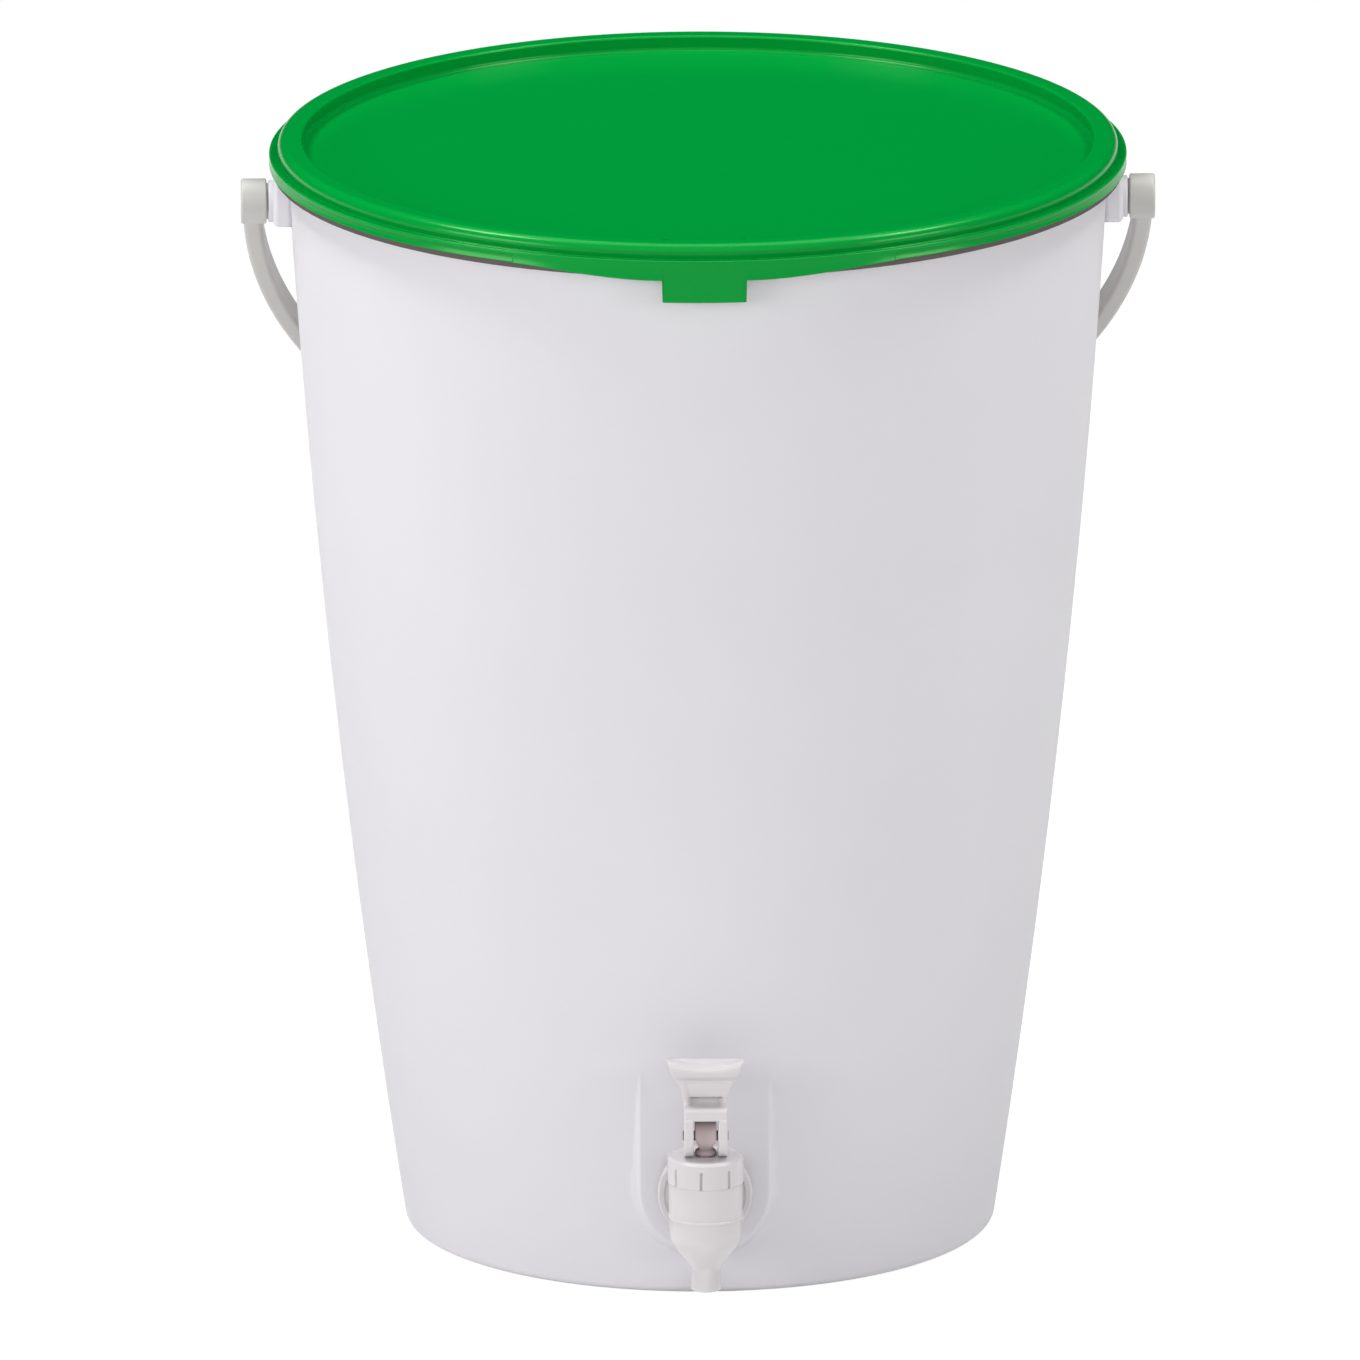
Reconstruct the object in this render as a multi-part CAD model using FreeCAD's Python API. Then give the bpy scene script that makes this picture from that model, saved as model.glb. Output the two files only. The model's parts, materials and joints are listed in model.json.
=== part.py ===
import FreeCAD, Part
import math
import os

from FreeCAD import Vector

# Bokashi bin: a tapered bucket with a push-on lid, a bail, a drain grate and a lever tap.
# Millimetres. The origin is the middle of the foot on the floor, +Z is up, the tap faces -Y
# and the bail turns about an axis along X.

# Bucket
FOOT_RADIUS = 102.1
TOP_RADIUS = 143.0
WALL_BOW = 4.55
SHOULDER_HEIGHT = 379.5
RIM_RISE = 6.5
WALL = 2.4
NECK_STEP = 0.4
BEAD_HEIGHT = 3.0
BEAD_PROUD = 1.1
FLOOR = 3.0
FOOT_ROUND = 7.0
FOOT_RECESS = 2.5
FOOT_RING_WIDTH = 7.5
INNER_ROUND = 5.0

# Ears that carry the bail
EAR_REACH = 5.0
EAR_WIDTH = 20.0
EAR_ABOVE_PIVOT = 10.5
EAR_BELOW_PIVOT = 7.3
EAR_ROUND = 2.0
PIVOT_DROP = 18.5
BOSS_RADIUS = 7.3
BOSS_THICKNESS = 1.3
PIVOT_BORE_DEPTH = 5.8

# Bail
PIVOT_PIN_RADIUS = 3.5
PIVOT_CLEARANCE = 0.08
PIVOT_END_GAP = 0.4
HUB_RADIUS = 7.9
HUB_LENGTH = 9.1
HUB_GAP = 0.9
HUB_ROUND = 1.0
BAIL_DROP = 198.5
BAIL_THICKNESS = 6.4
BAIL_DEPTH = 9.5
BAIL_ROUND = 1.4
BAIL_OUTER_INSET = 0.8
BAIL_WALL_GAP = 0.5

# Lid
LID_NECK_CLEARANCE = 0.6
LID_BEAD_CLEARANCE = 0.8
LID_WALL = 2.0
CROWN_RISE = 3.8
CROWN_ROUND = 0.8
PANEL_DEPTH = 5.7
PANEL_ROUND = 1.8
SHOULDER_TAPER = 0.5
SHOULDER_ROUND = 1.5
SHOULDER_DEPTH = 5.2
FLANGE_WIDTH = 3.5
FLANGE_SLOPE = 0.5
FLANGE_STEP = 0.3
SKIRT_HEIGHT = 3.0
LIP_DEPTH = 3.0
LIP_HALF_WIDTH = 24.0
LIP_RAMP = 42.0
TAB_WIDTH = 29.4
TAB_DROP = 10.8
TAB_THICKNESS = 2.2
SEAL_WIDTH = 1.6
SEAL_INSET = 0.2

# Drain grate
GRATE_CLEARANCE = 0.8
GRATE_ABOVE_NUT = 7.0
GRATE_THICKNESS = 3.0
GRATE_LEG_RADIUS = 5.0
GRATE_LEG_CIRCLE = 84.0
GRATE_LEGS = 6
DRAIN_HOLE_RADIUS = 4.0
DRAIN_HOLE_SPACING = 21.0
DRAIN_RINGS = 4
DRAIN_HOLES_PER_RING = 6
FINGER_HOLE_RADIUS = 11.0

# Tap pad on the bucket
PAD_PROUD = 4.1
PAD_HALF_WIDTH = 23.0
PAD_RISE = 46.0
PAD_DEPTH = 10.0
PAD_DRAFT = 20.0
PAD_WALL = 3.0
PAD_ROUND = 1.0

# Tap body
SPOUT_CLEARANCE = 10.5
SPOUT_RADIUS = 5.15
SPOUT_LENGTH = 8.0
SPOUT_BORE = 4.0
CONE_HEIGHT = 9.8
BARREL_RADIUS = 12.9
BARREL_STEP = 0.35
LOWER_BARREL_HEIGHT = 9.0
UPPER_BARREL_HEIGHT = 12.2
NECK_RISE = 5.3
THREAD_DEPTH = 1.7
CHAMBER_RADIUS = 9.2
SEAT_RISE = 2.7
SHANK_ABOVE_CONE = 11.7
TAP_REACH = 21.7
FLANGE_RADIUS = 16.5
FLANGE_THICKNESS = 3.0
ARM_GAP = 2.8
ARM_WALL = 2.0
SHANK_RADIUS = 10.45
SHANK_TAIL = 4.5
HOLE_CLEARANCE = 0.3
THREAD_CLEARANCE = 0.05

# Tap washers and nut
WASHER_THICKNESS = 2.0
WASHER_RADIUS = 15.5
NUT_ACROSS_FLATS = 29.0
NUT_THICKNESS = 8.0

# Tap bonnet
BONNET_PROUD = 0.35
BONNET_TOP = 2.2
BONNET_ROUND = 0.8
GRIP_GROOVES = 8
GRIP_GROOVE_WIDTH = 0.9
GRIP_GROOVE_DEPTH = 0.5
GRIP_GROOVE_HEIGHT = 6.5
GRIP_TURN = 0.83

# Tap seat cup
CUP_RADIUS = 7.5
CUP_PLUG_HEIGHT = 6.5
CUP_SKIN = 1.2
CUP_FOLD = 2.0
CUP_FOLDS = 2
CUP_FLANGE_THICKNESS = 2.0
CUP_SOCKET_DEPTH = 4.5
CUP_CLEARANCE = 0.05

# Tap stem, pin and lever
STEM_RADIUS = 3.0
STEM_CLEARANCE = 0.4
STEM_HEAD_WIDTH = 7.7
STEM_HEAD_RADIUS = 5.7
LEVER_PIN_RADIUS = 1.75
LEVER_PIN_CLEARANCE = 0.08
LEVER_PIN_PROUD = 0.4
HEEL_REACH = 6.7
HEEL_GAP = 0.3
HEEL_LIFT = 3.5
LEVER_SWING = 85.0
LEG_GAP = 0.45
LEG_THICKNESS = 3.3
LEVER_BACK = 5.0
WINDOW_GAP = 1.9
WINDOW_ROUND = 1.5
LEVER_CHAMFER = 1.0
BLOCK_FRONT = 8.9
BLOCK_FRONT_HEIGHT = 11.7
BLOCK_BACK_HEIGHT = 12.9
ARM_FRONT = 1.4
ARM_BACK = 3.0
ARM_HEIGHT = 21.9
PADDLE_HALF_WIDTH = 13.5
PADDLE_DEPTH = 7.2
PADDLE_HEIGHT = 6.6
PADDLE_NOSE = 1.6
PADDLE_LEAN = 0.6
PADDLE_EDGE = 1.8
PADDLE_SAG = 1.1
PADDLE_FALL = 10.0
FLARE_BOW = 0.25

# Worked out from the values above
RIM_HEIGHT = SHOULDER_HEIGHT + RIM_RISE
NECK_RADIUS = TOP_RADIUS - NECK_STEP
BORE_RADIUS = TOP_RADIUS - WALL
FLOOR_TOP = FOOT_RECESS + FLOOR
PIVOT_HEIGHT = RIM_HEIGHT - PIVOT_DROP
EAR_FACE = TOP_RADIUS + EAR_REACH
BOSS_FACE = EAR_FACE + BOSS_THICKNESS
HUB_FACE = BOSS_FACE + HUB_GAP
HUB_END = HUB_FACE + HUB_LENGTH
BAIL_OUTER = HUB_END - BAIL_OUTER_INSET
BAIL_INNER = BAIL_OUTER - BAIL_THICKNESS
CONE_BOTTOM = SPOUT_CLEARANCE + SPOUT_LENGTH
BARREL_BOTTOM = CONE_BOTTOM + CONE_HEIGHT
BARREL_TOP = BARREL_BOTTOM + LOWER_BARREL_HEIGHT + UPPER_BARREL_HEIGHT
NECK_TOP = BARREL_TOP + NECK_RISE
SEAT_HEIGHT = BARREL_BOTTOM + SEAT_RISE
TAP_HEIGHT = BARREL_BOTTOM + SHANK_ABOVE_CONE
ARM_RADIUS = BARREL_TOP - TAP_HEIGHT - ARM_GAP
SHANK_BORE = ARM_RADIUS - ARM_WALL
THREAD_RADIUS = BARREL_RADIUS - THREAD_DEPTH
BONNET_UNDERSIDE = NECK_TOP + CUP_FLANGE_THICKNESS
BONNET_HEIGHT = BONNET_UNDERSIDE + BONNET_TOP
LEVER_PIVOT_HEIGHT = BONNET_HEIGHT + HEEL_GAP + HEEL_REACH
NUT_CORNER = NUT_ACROSS_FLATS / math.sqrt(3)
GRATE_BOTTOM = TAP_HEIGHT + NUT_CORNER + GRATE_ABOVE_NUT
LEG_INNER = STEM_HEAD_WIDTH / 2 + LEG_GAP
LEG_OUTER = LEG_INNER + LEG_THICKNESS
ARC_SAG = 1 - math.sqrt(0.5)

UP = Vector(0, 0, 1)
ALONG_X = Vector(1, 0, 0)
ALONG_Y = Vector(0, 1, 0)


def wall_radius(height):
    """Outer radius of the bucket wall, which is an arc that bows outwards by WALL_BOW."""
    arc = Part.Arc(Vector(FOOT_RADIUS, 0, 0),
                   Vector((FOOT_RADIUS + TOP_RADIUS) / 2 + WALL_BOW, 0, SHOULDER_HEIGHT / 2),
                   Vector(TOP_RADIUS, 0, SHOULDER_HEIGHT)).toShape().Curve
    return arc.Center.x + math.sqrt(arc.Radius ** 2 - (height - arc.Center.z) ** 2)


PAD_FACE = -wall_radius(TAP_HEIGHT) - PAD_PROUD
PAD_BACK = PAD_FACE + PAD_WALL
TAP_Y = PAD_FACE - TAP_REACH


def outline_face(points, place):
    """Closed face through a list of pairs. A pair of pairs is an arc: its middle and its end."""
    edges = []
    start = points[0]
    for entry in points[1:] + points[:1]:
        if isinstance(entry[0], tuple):
            middle, end = entry
            edges.append(Part.Arc(place(*start), place(*middle), place(*end)).toShape())
        else:
            end = entry
            edges.append(Part.LineSegment(place(*start), place(*end)).toShape())
        start = end
    return Part.Face(Part.Wire(edges))


def revolved(points, axis_y=0.0):
    """Solid turned about the upright line at (0, axis_y), from pairs of radius and height."""
    face = outline_face(points, lambda radius, height: Vector(radius, axis_y, height))
    return face.revolve(Vector(0, axis_y, 0), UP, 360)


def prism_along_x(points, half_width):
    """Solid from pairs of Y and Z, as wide on both sides of the middle plane."""
    face = outline_face(points, lambda y, z: Vector(-half_width, y, z))
    return face.extrude(ALONG_X * (2 * half_width))


def prism_along_y(points, start, end):
    """Solid from pairs of X and Z, between two values of Y."""
    face = outline_face(points, lambda x, z: Vector(x, start, z))
    return face.extrude(ALONG_Y * (end - start))


def rod_along_x(radius, start, end, y, z):
    """Round rod between two values of X."""
    return Part.makeCylinder(radius, end - start, Vector(start, y, z), ALONG_X)


def rod_along_y(radius, start, end, z):
    """Round rod in the middle plane, between two values of Y."""
    return Part.makeCylinder(radius, end - start, Vector(0, start, z), ALONG_Y)


def rounded(shape, radius, chosen):
    """The shape with the edges that the test picks rounded."""
    return shape.makeFillet(radius, [edge for edge in shape.Edges if chosen(edge)])


def lies_at(edge, axis, value):
    """True for an edge that lies in the plane where an axis has a value."""
    box = edge.BoundBox
    low, high = {"x": (box.XMin, box.XMax), "y": (box.YMin, box.YMax), "z": (box.ZMin, box.ZMax)}[axis]
    return max(abs(low - value), abs(high - value)) < 0.01


def on_both_sides(shape):
    """A shape and its mirror image in the middle plane."""
    return [shape, shape.mirror(Vector(0, 0, 0), ALONG_X)]


def pad_outline(half_width, y):
    """U-shaped wire round the shank, with a half circle at the bottom and straight sides."""
    top = TAP_HEIGHT + PAD_RISE
    points = [(-half_width, top), (-half_width, TAP_HEIGHT),
              ((0, TAP_HEIGHT - half_width), (half_width, TAP_HEIGHT)), (half_width, top)]
    return outline_face(points, lambda x, z: Vector(x, y, z)).OuterWire


def bin_body():
    """Bucket with its rim bead, its two ears and the raised flat pad for the tap."""
    middle = SHOULDER_HEIGHT / 2
    outside = revolved([
        (0, 0), (FOOT_RADIUS, 0),
        ((wall_radius(middle), middle), (TOP_RADIUS, SHOULDER_HEIGHT)),
        (NECK_RADIUS, SHOULDER_HEIGHT), (NECK_RADIUS, RIM_HEIGHT - BEAD_HEIGHT),
        ((NECK_RADIUS + BEAD_PROUD, RIM_HEIGHT - BEAD_HEIGHT / 2), (NECK_RADIUS, RIM_HEIGHT)),
        (0, RIM_HEIGHT)])
    outside = rounded(outside, FOOT_ROUND, lambda edge: lies_at(edge, "z", 0))
    middle = (FLOOR_TOP + SHOULDER_HEIGHT) / 2
    over_rim = RIM_HEIGHT + WALL
    cavity = revolved([
        (0, FLOOR_TOP), (wall_radius(FLOOR_TOP) - WALL, FLOOR_TOP),
        ((wall_radius(middle) - WALL, middle), (BORE_RADIUS, SHOULDER_HEIGHT)),
        (BORE_RADIUS, over_rim), (0, over_rim)])
    cavity = rounded(cavity, INNER_ROUND, lambda edge: lies_at(edge, "z", FLOOR_TOP))
    recess_radius = FOOT_RADIUS - FOOT_ROUND - FOOT_RING_WIDTH
    recess = Part.makeCylinder(recess_radius, FOOT_RECESS)

    ear_low = PIVOT_HEIGHT - EAR_BELOW_PIVOT
    ear = Part.makeBox(EAR_FACE - BORE_RADIUS, EAR_WIDTH, EAR_BELOW_PIVOT + EAR_ABOVE_PIVOT,
                       Vector(BORE_RADIUS, -EAR_WIDTH / 2, ear_low))
    ear = rounded(ear, EAR_ROUND, lambda edge: lies_at(edge, "x", EAR_FACE))
    ear = ear.fuse(rod_along_x(BOSS_RADIUS, EAR_FACE - WALL, BOSS_FACE, 0, PIVOT_HEIGHT))
    bore = rod_along_x(PIVOT_PIN_RADIUS + PIVOT_CLEARANCE, BOSS_FACE - PIVOT_BORE_DEPTH, BOSS_FACE,
                       0, PIVOT_HEIGHT)

    base_half_width = PAD_HALF_WIDTH + PAD_DEPTH * math.tan(math.radians(PAD_DRAFT))
    pad = Part.makeLoft([pad_outline(PAD_HALF_WIDTH, PAD_FACE),
                         pad_outline(base_half_width, PAD_FACE + PAD_DEPTH)], True)
    pad = rounded(pad, PAD_ROUND, lambda edge: lies_at(edge, "y", PAD_FACE))
    pocket = Part.Face(pad_outline(PAD_HALF_WIDTH - PAD_WALL, PAD_BACK)).extrude(ALONG_Y * PAD_DEPTH)
    tap_hole = rod_along_y(SHANK_RADIUS + HOLE_CLEARANCE, PAD_FACE - PAD_WALL, PAD_BACK + PAD_WALL, TAP_HEIGHT)

    body = outside.multiFuse(on_both_sides(ear) + [pad])
    return body.cut([cavity, recess, pocket, tap_hole] + on_both_sides(bore))


def lid():
    """Push-on lid: a sunk panel, a raised crown ring, a ledge and skirt, a lift lip and a pull tab."""
    plug = BORE_RADIUS - LID_NECK_CLEARANCE
    recess = plug - LID_WALL
    top = RIM_HEIGHT + CROWN_RISE
    under_crown = top - LID_WALL
    panel = top - PANEL_DEPTH
    under_panel = panel - LID_WALL
    bead_clear = NECK_RADIUS + BEAD_PROUD + LID_BEAD_CLEARANCE
    shoulder = bead_clear + LID_WALL
    crown_edge = shoulder - SHOULDER_TAPER
    ledge = top - SHOULDER_DEPTH
    edge = shoulder + FLANGE_WIDTH
    edge_top = ledge - FLANGE_STEP - FLANGE_SLOPE
    skirt_bottom = edge_top - SKIRT_HEIGHT
    inner_edge = edge - LID_WALL
    solid = revolved([
        (0, under_panel), (plug, under_panel), (plug, under_crown), (bead_clear, under_crown),
        (bead_clear, ledge - FLANGE_STEP), (inner_edge, edge_top - LID_WALL / 2), (inner_edge, skirt_bottom),
        (edge, skirt_bottom), (edge, edge_top),
        (shoulder + FLANGE_STEP, ledge - FLANGE_STEP), (shoulder, ledge),
        (crown_edge, top - SHOULDER_ROUND),
        ((crown_edge - SHOULDER_ROUND * ARC_SAG, top - SHOULDER_ROUND * ARC_SAG),
         (crown_edge - SHOULDER_ROUND, top)),
        (recess + CROWN_ROUND, top),
        ((recess + CROWN_ROUND * ARC_SAG, top - CROWN_ROUND * ARC_SAG), (recess, top - CROWN_ROUND)),
        (recess, panel + PANEL_ROUND),
        ((recess - PANEL_ROUND * ARC_SAG, panel + PANEL_ROUND * ARC_SAG), (recess - PANEL_ROUND, panel)),
        (0, panel)])

    lip_bottom = skirt_bottom - LIP_DEPTH
    lip_ring = revolved([(inner_edge, lip_bottom), (edge, lip_bottom),
                         (edge, skirt_bottom + SKIRT_HEIGHT / 2), (inner_edge, skirt_bottom + SKIRT_HEIGHT / 2)])
    lip_end = LIP_HALF_WIDTH + LIP_RAMP
    lip_shape = prism_along_y([(-lip_end, skirt_bottom + SKIRT_HEIGHT / 2), (-lip_end, skirt_bottom),
                               (-LIP_HALF_WIDTH, lip_bottom), (LIP_HALF_WIDTH, lip_bottom),
                               (lip_end, skirt_bottom), (lip_end, skirt_bottom + SKIRT_HEIGHT / 2)], -edge, 0)
    tab = Part.makeBox(TAB_WIDTH, TAB_THICKNESS, TAB_DROP + SKIRT_HEIGHT / 2,
                       Vector(-TAB_WIDTH / 2, -edge, skirt_bottom - TAB_DROP))
    return solid.multiFuse([lip_ring.common(lip_shape), tab])


def lid_seal():
    """Soft ring that fills the lid's channel above the rim."""
    inner = BORE_RADIUS + SEAL_INSET
    under_crown = RIM_HEIGHT + CROWN_RISE - LID_WALL
    return revolved([(inner, RIM_HEIGHT), (inner + SEAL_WIDTH, RIM_HEIGHT),
                     (inner + SEAL_WIDTH, under_crown), (inner, under_crown)])


def bail_rest_angle():
    """Degrees below level at which the hanging bail comes to its gap from the back wall."""
    reach = BAIL_DROP - BAIL_THICKNESS
    low, high = math.radians(5), math.radians(85)
    for _ in range(60):
        angle = (low + high) / 2
        y = reach * math.cos(angle) - BAIL_DEPTH / 2 * math.sin(angle)
        z = PIVOT_HEIGHT - reach * math.sin(angle) - BAIL_DEPTH / 2 * math.cos(angle)
        if y - wall_radius(z) > BAIL_WALL_GAP:
            low = angle
        else:
            high = angle
    return math.degrees(low)


def half_ellipse(half_span, drop, depth):
    """Slab of half an ellipse behind the pivot axis, at the pivot's height."""
    middle = Vector(0, 0, PIVOT_HEIGHT - depth / 2)
    ends = sorted([ALONG_X * half_span, ALONG_Y * drop], key=lambda end: end.Length)
    ellipse = Part.Ellipse(middle + ends[1], middle + ends[0], middle)
    slab = Part.Face(Part.Wire(ellipse.toShape())).extrude(UP * depth)
    behind = Part.makeBox(2 * half_span, drop, 2 * depth, Vector(-half_span, 0, PIVOT_HEIGHT - depth))
    return slab.common(behind)


def bail_handle():
    """Half-elliptical strap with a round hub and a pivot pin at each end, hanging at the back."""
    strap = half_ellipse(BAIL_OUTER, BAIL_DROP, BAIL_DEPTH).cut(
        half_ellipse(BAIL_INNER, BAIL_DROP - BAIL_THICKNESS, 2 * BAIL_DEPTH))
    strap = rounded(strap, BAIL_ROUND, lambda edge: edge.BoundBox.YMax > BAIL_DROP / 2)
    hub = rounded(rod_along_x(HUB_RADIUS, HUB_FACE, HUB_END, 0, PIVOT_HEIGHT), HUB_ROUND,
                  lambda edge: lies_at(edge, "x", HUB_END) or lies_at(edge, "x", HUB_FACE))
    pin_end = BOSS_FACE - PIVOT_BORE_DEPTH + PIVOT_END_GAP
    pin = rod_along_x(PIVOT_PIN_RADIUS, pin_end, HUB_FACE + HUB_LENGTH / 2, 0, PIVOT_HEIGHT)
    handle = strap.multiFuse(on_both_sides(hub) + on_both_sides(pin))
    handle.rotate(Vector(0, 0, PIVOT_HEIGHT), ALONG_X, -bail_rest_angle())
    return handle


def drain_grate():
    """Perforated plate on legs that keeps the waste above the liquid."""
    radius = wall_radius(GRATE_BOTTOM) - WALL - GRATE_CLEARANCE
    plate = Part.makeCylinder(radius, GRATE_THICKNESS, Vector(0, 0, GRATE_BOTTOM))
    legs = []
    for index in range(GRATE_LEGS):
        angle = 2 * math.pi * index / GRATE_LEGS
        place = Vector(GRATE_LEG_CIRCLE * math.cos(angle), GRATE_LEG_CIRCLE * math.sin(angle), FLOOR_TOP)
        legs.append(Part.makeCylinder(GRATE_LEG_RADIUS, GRATE_BOTTOM - FLOOR_TOP, place))
    holes = []
    for ring in range(1, DRAIN_RINGS + 1):
        ring_radius = ring * DRAIN_HOLE_SPACING
        count = DRAIN_HOLES_PER_RING * ring
        for index in range(count):
            angle = 2 * math.pi * (index + 0.5) / count
            x = ring_radius * math.cos(angle)
            y = ring_radius * math.sin(angle)
            if all(math.hypot(x - leg.CenterOfMass.x, y - leg.CenterOfMass.y)
                   > GRATE_LEG_RADIUS + DRAIN_HOLE_RADIUS for leg in legs):
                holes.append(Part.makeCylinder(DRAIN_HOLE_RADIUS, GRATE_THICKNESS, Vector(x, y, GRATE_BOTTOM)))
    holes.append(Part.makeCylinder(FINGER_HOLE_RADIUS, GRATE_THICKNESS, Vector(0, 0, GRATE_BOTTOM)))
    return plate.multiFuse(legs).cut(holes)


def tap_body():
    """Barrel with its seat and spout, and the arm, flange and threaded shank behind it."""
    lower = BARREL_RADIUS - BARREL_STEP
    step = BARREL_BOTTOM + LOWER_BARREL_HEIGHT
    flange_back = PAD_FACE - WASHER_THICKNESS
    barrel = revolved([
        (0, SPOUT_CLEARANCE), (SPOUT_RADIUS, SPOUT_CLEARANCE), (SPOUT_RADIUS, CONE_BOTTOM),
        (lower, BARREL_BOTTOM), (lower, step), (BARREL_RADIUS, step), (BARREL_RADIUS, BARREL_TOP),
        (THREAD_RADIUS, BARREL_TOP), (THREAD_RADIUS, NECK_TOP), (0, NECK_TOP)], TAP_Y)
    tail = PAD_BACK + WASHER_THICKNESS + NUT_THICKNESS + SHANK_TAIL
    barrel = barrel.multiFuse([
        rod_along_y(ARM_RADIUS, TAP_Y, flange_back, TAP_HEIGHT),
        rod_along_y(FLANGE_RADIUS, flange_back - FLANGE_THICKNESS, flange_back, TAP_HEIGHT),
        rod_along_y(SHANK_RADIUS, flange_back, tail, TAP_HEIGHT)])
    chamber = Part.makeCylinder(CHAMBER_RADIUS, NECK_TOP - SEAT_HEIGHT, Vector(0, TAP_Y, SEAT_HEIGHT))
    outlet = Part.makeCylinder(SPOUT_BORE, SEAT_HEIGHT - SPOUT_CLEARANCE, Vector(0, TAP_Y, SPOUT_CLEARANCE))
    return barrel.cut([chamber, outlet, rod_along_y(SHANK_BORE, TAP_Y, tail, TAP_HEIGHT)])


def tap_washer(front):
    """Flat rubber washer round the shank, from a front face at a value of Y."""
    ring = rod_along_y(WASHER_RADIUS, front, front + WASHER_THICKNESS, TAP_HEIGHT)
    return ring.cut(rod_along_y(SHANK_RADIUS + HOLE_CLEARANCE, front, front + WASHER_THICKNESS, TAP_HEIGHT))


def tap_back_nut():
    """Six-sided nut on the shank, against the inner washer."""
    front = PAD_BACK + WASHER_THICKNESS
    corners = [(NUT_CORNER * math.cos(math.radians(60 * index)),
                TAP_HEIGHT + NUT_CORNER * math.sin(math.radians(60 * index))) for index in range(6)]
    nut = prism_along_y(corners, front, front + NUT_THICKNESS)
    return nut.cut(rod_along_y(SHANK_RADIUS + THREAD_CLEARANCE, front, front + NUT_THICKNESS, TAP_HEIGHT))


def tap_bonnet():
    """Screw cap with grip grooves, over the barrel's threaded neck."""
    outer = BARREL_RADIUS + BONNET_PROUD
    inner = THREAD_RADIUS + THREAD_CLEARANCE
    hole = STEM_RADIUS + STEM_CLEARANCE
    cap = revolved([
        (inner, BARREL_TOP), (outer, BARREL_TOP), (outer, BONNET_HEIGHT - BONNET_ROUND),
        (outer - BONNET_ROUND, BONNET_HEIGHT), (hole, BONNET_HEIGHT), (hole, BONNET_UNDERSIDE),
        (inner, BONNET_UNDERSIDE)], TAP_Y)
    groove = Part.makeBox(2 * GRIP_GROOVE_DEPTH, GRIP_GROOVE_WIDTH, GRIP_GROOVE_HEIGHT,
                          Vector(outer - GRIP_GROOVE_DEPTH, TAP_Y - GRIP_GROOVE_WIDTH / 2, BARREL_TOP))
    grooves = []
    for index in range(GRIP_GROOVES):
        turned = groove.copy()
        turned.rotate(Vector(0, TAP_Y, 0), UP, 360 * (index + GRIP_TURN) / GRIP_GROOVES)
        grooves.append(turned)
    return cap.cut(grooves)


def tap_seat_cup():
    """Silicone cup: a plug on the seat, a folded bellows and a flange under the bonnet."""
    plug_top = SEAT_HEIGHT + CUP_PLUG_HEIGHT
    pleat = (NECK_TOP - plug_top) / (2 * CUP_FOLDS + 1)
    socket = STEM_RADIUS + CUP_CLEARANCE
    inner_fold = CUP_RADIUS - CUP_FOLD
    outside = []
    inside = []
    for index in range(2 * CUP_FOLDS + 1):
        fold = inner_fold if index % 2 == 0 else CUP_RADIUS
        outside.append((fold, plug_top + pleat * (index + 0.5)))
        inside.insert(0, (fold - CUP_SKIN, plug_top + pleat * (index + 0.5)))
    flange = THREAD_RADIUS - THREAD_CLEARANCE
    return revolved(
        [(0, SEAT_HEIGHT), (CUP_RADIUS, SEAT_HEIGHT), (CUP_RADIUS, plug_top)] + outside
        + [(CUP_RADIUS, NECK_TOP), (flange, NECK_TOP), (flange, BONNET_UNDERSIDE),
           (CUP_RADIUS - CUP_SKIN, BONNET_UNDERSIDE), (CUP_RADIUS - CUP_SKIN, NECK_TOP)]
        + inside
        + [(inner_fold - CUP_SKIN, plug_top), (socket, plug_top),
           (socket, plug_top - CUP_SOCKET_DEPTH), (0, plug_top - CUP_SOCKET_DEPTH)], TAP_Y)


def tap_stem():
    """Round stem from the seat cup up through the bonnet, with a rounded head between the lever's legs."""
    bottom = SEAT_HEIGHT + CUP_PLUG_HEIGHT - CUP_SOCKET_DEPTH
    collar = STEM_HEAD_WIDTH / 2
    collar_bottom = BONNET_HEIGHT + HEEL_GAP
    stem = revolved([(0, bottom), (STEM_RADIUS, bottom), (STEM_RADIUS, collar_bottom), (collar, collar_bottom),
                     (collar, collar_bottom + HEEL_REACH / 4), (STEM_RADIUS, LEVER_PIVOT_HEIGHT),
                     (0, LEVER_PIVOT_HEIGHT)], TAP_Y)
    head = rod_along_x(STEM_HEAD_RADIUS, -collar, collar, TAP_Y, LEVER_PIVOT_HEIGHT)
    foot = Part.makeBox(2 * collar, 2 * STEM_HEAD_RADIUS, STEM_HEAD_RADIUS,
                        Vector(-collar, TAP_Y - STEM_HEAD_RADIUS,
                               LEVER_PIVOT_HEIGHT - STEM_HEAD_RADIUS - STEM_RADIUS))
    hole = rod_along_x(LEVER_PIN_RADIUS + THREAD_CLEARANCE, -collar, collar, TAP_Y, LEVER_PIVOT_HEIGHT)
    return stem.fuse(head.cut(foot)).cut(hole)


def tap_pivot_pin():
    """Pin through the stem's head and the lever's two legs."""
    end = LEG_OUTER + LEVER_PIN_PROUD
    return rod_along_x(LEVER_PIN_RADIUS, -end, end, TAP_Y, LEVER_PIVOT_HEIGHT)


def heel_point(angle):
    """Point of the heel, from the pivot, that bears on the bonnet when the lever is tilted by an angle.

    The heel is the involute whose reach below the pivot grows evenly with the tilt.
    """
    rate = HEEL_LIFT / math.radians(LEVER_SWING)
    reach = HEEL_REACH + rate * angle
    return (-reach * math.sin(angle) - rate * math.cos(angle), -reach * math.cos(angle) + rate * math.sin(angle))


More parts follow.
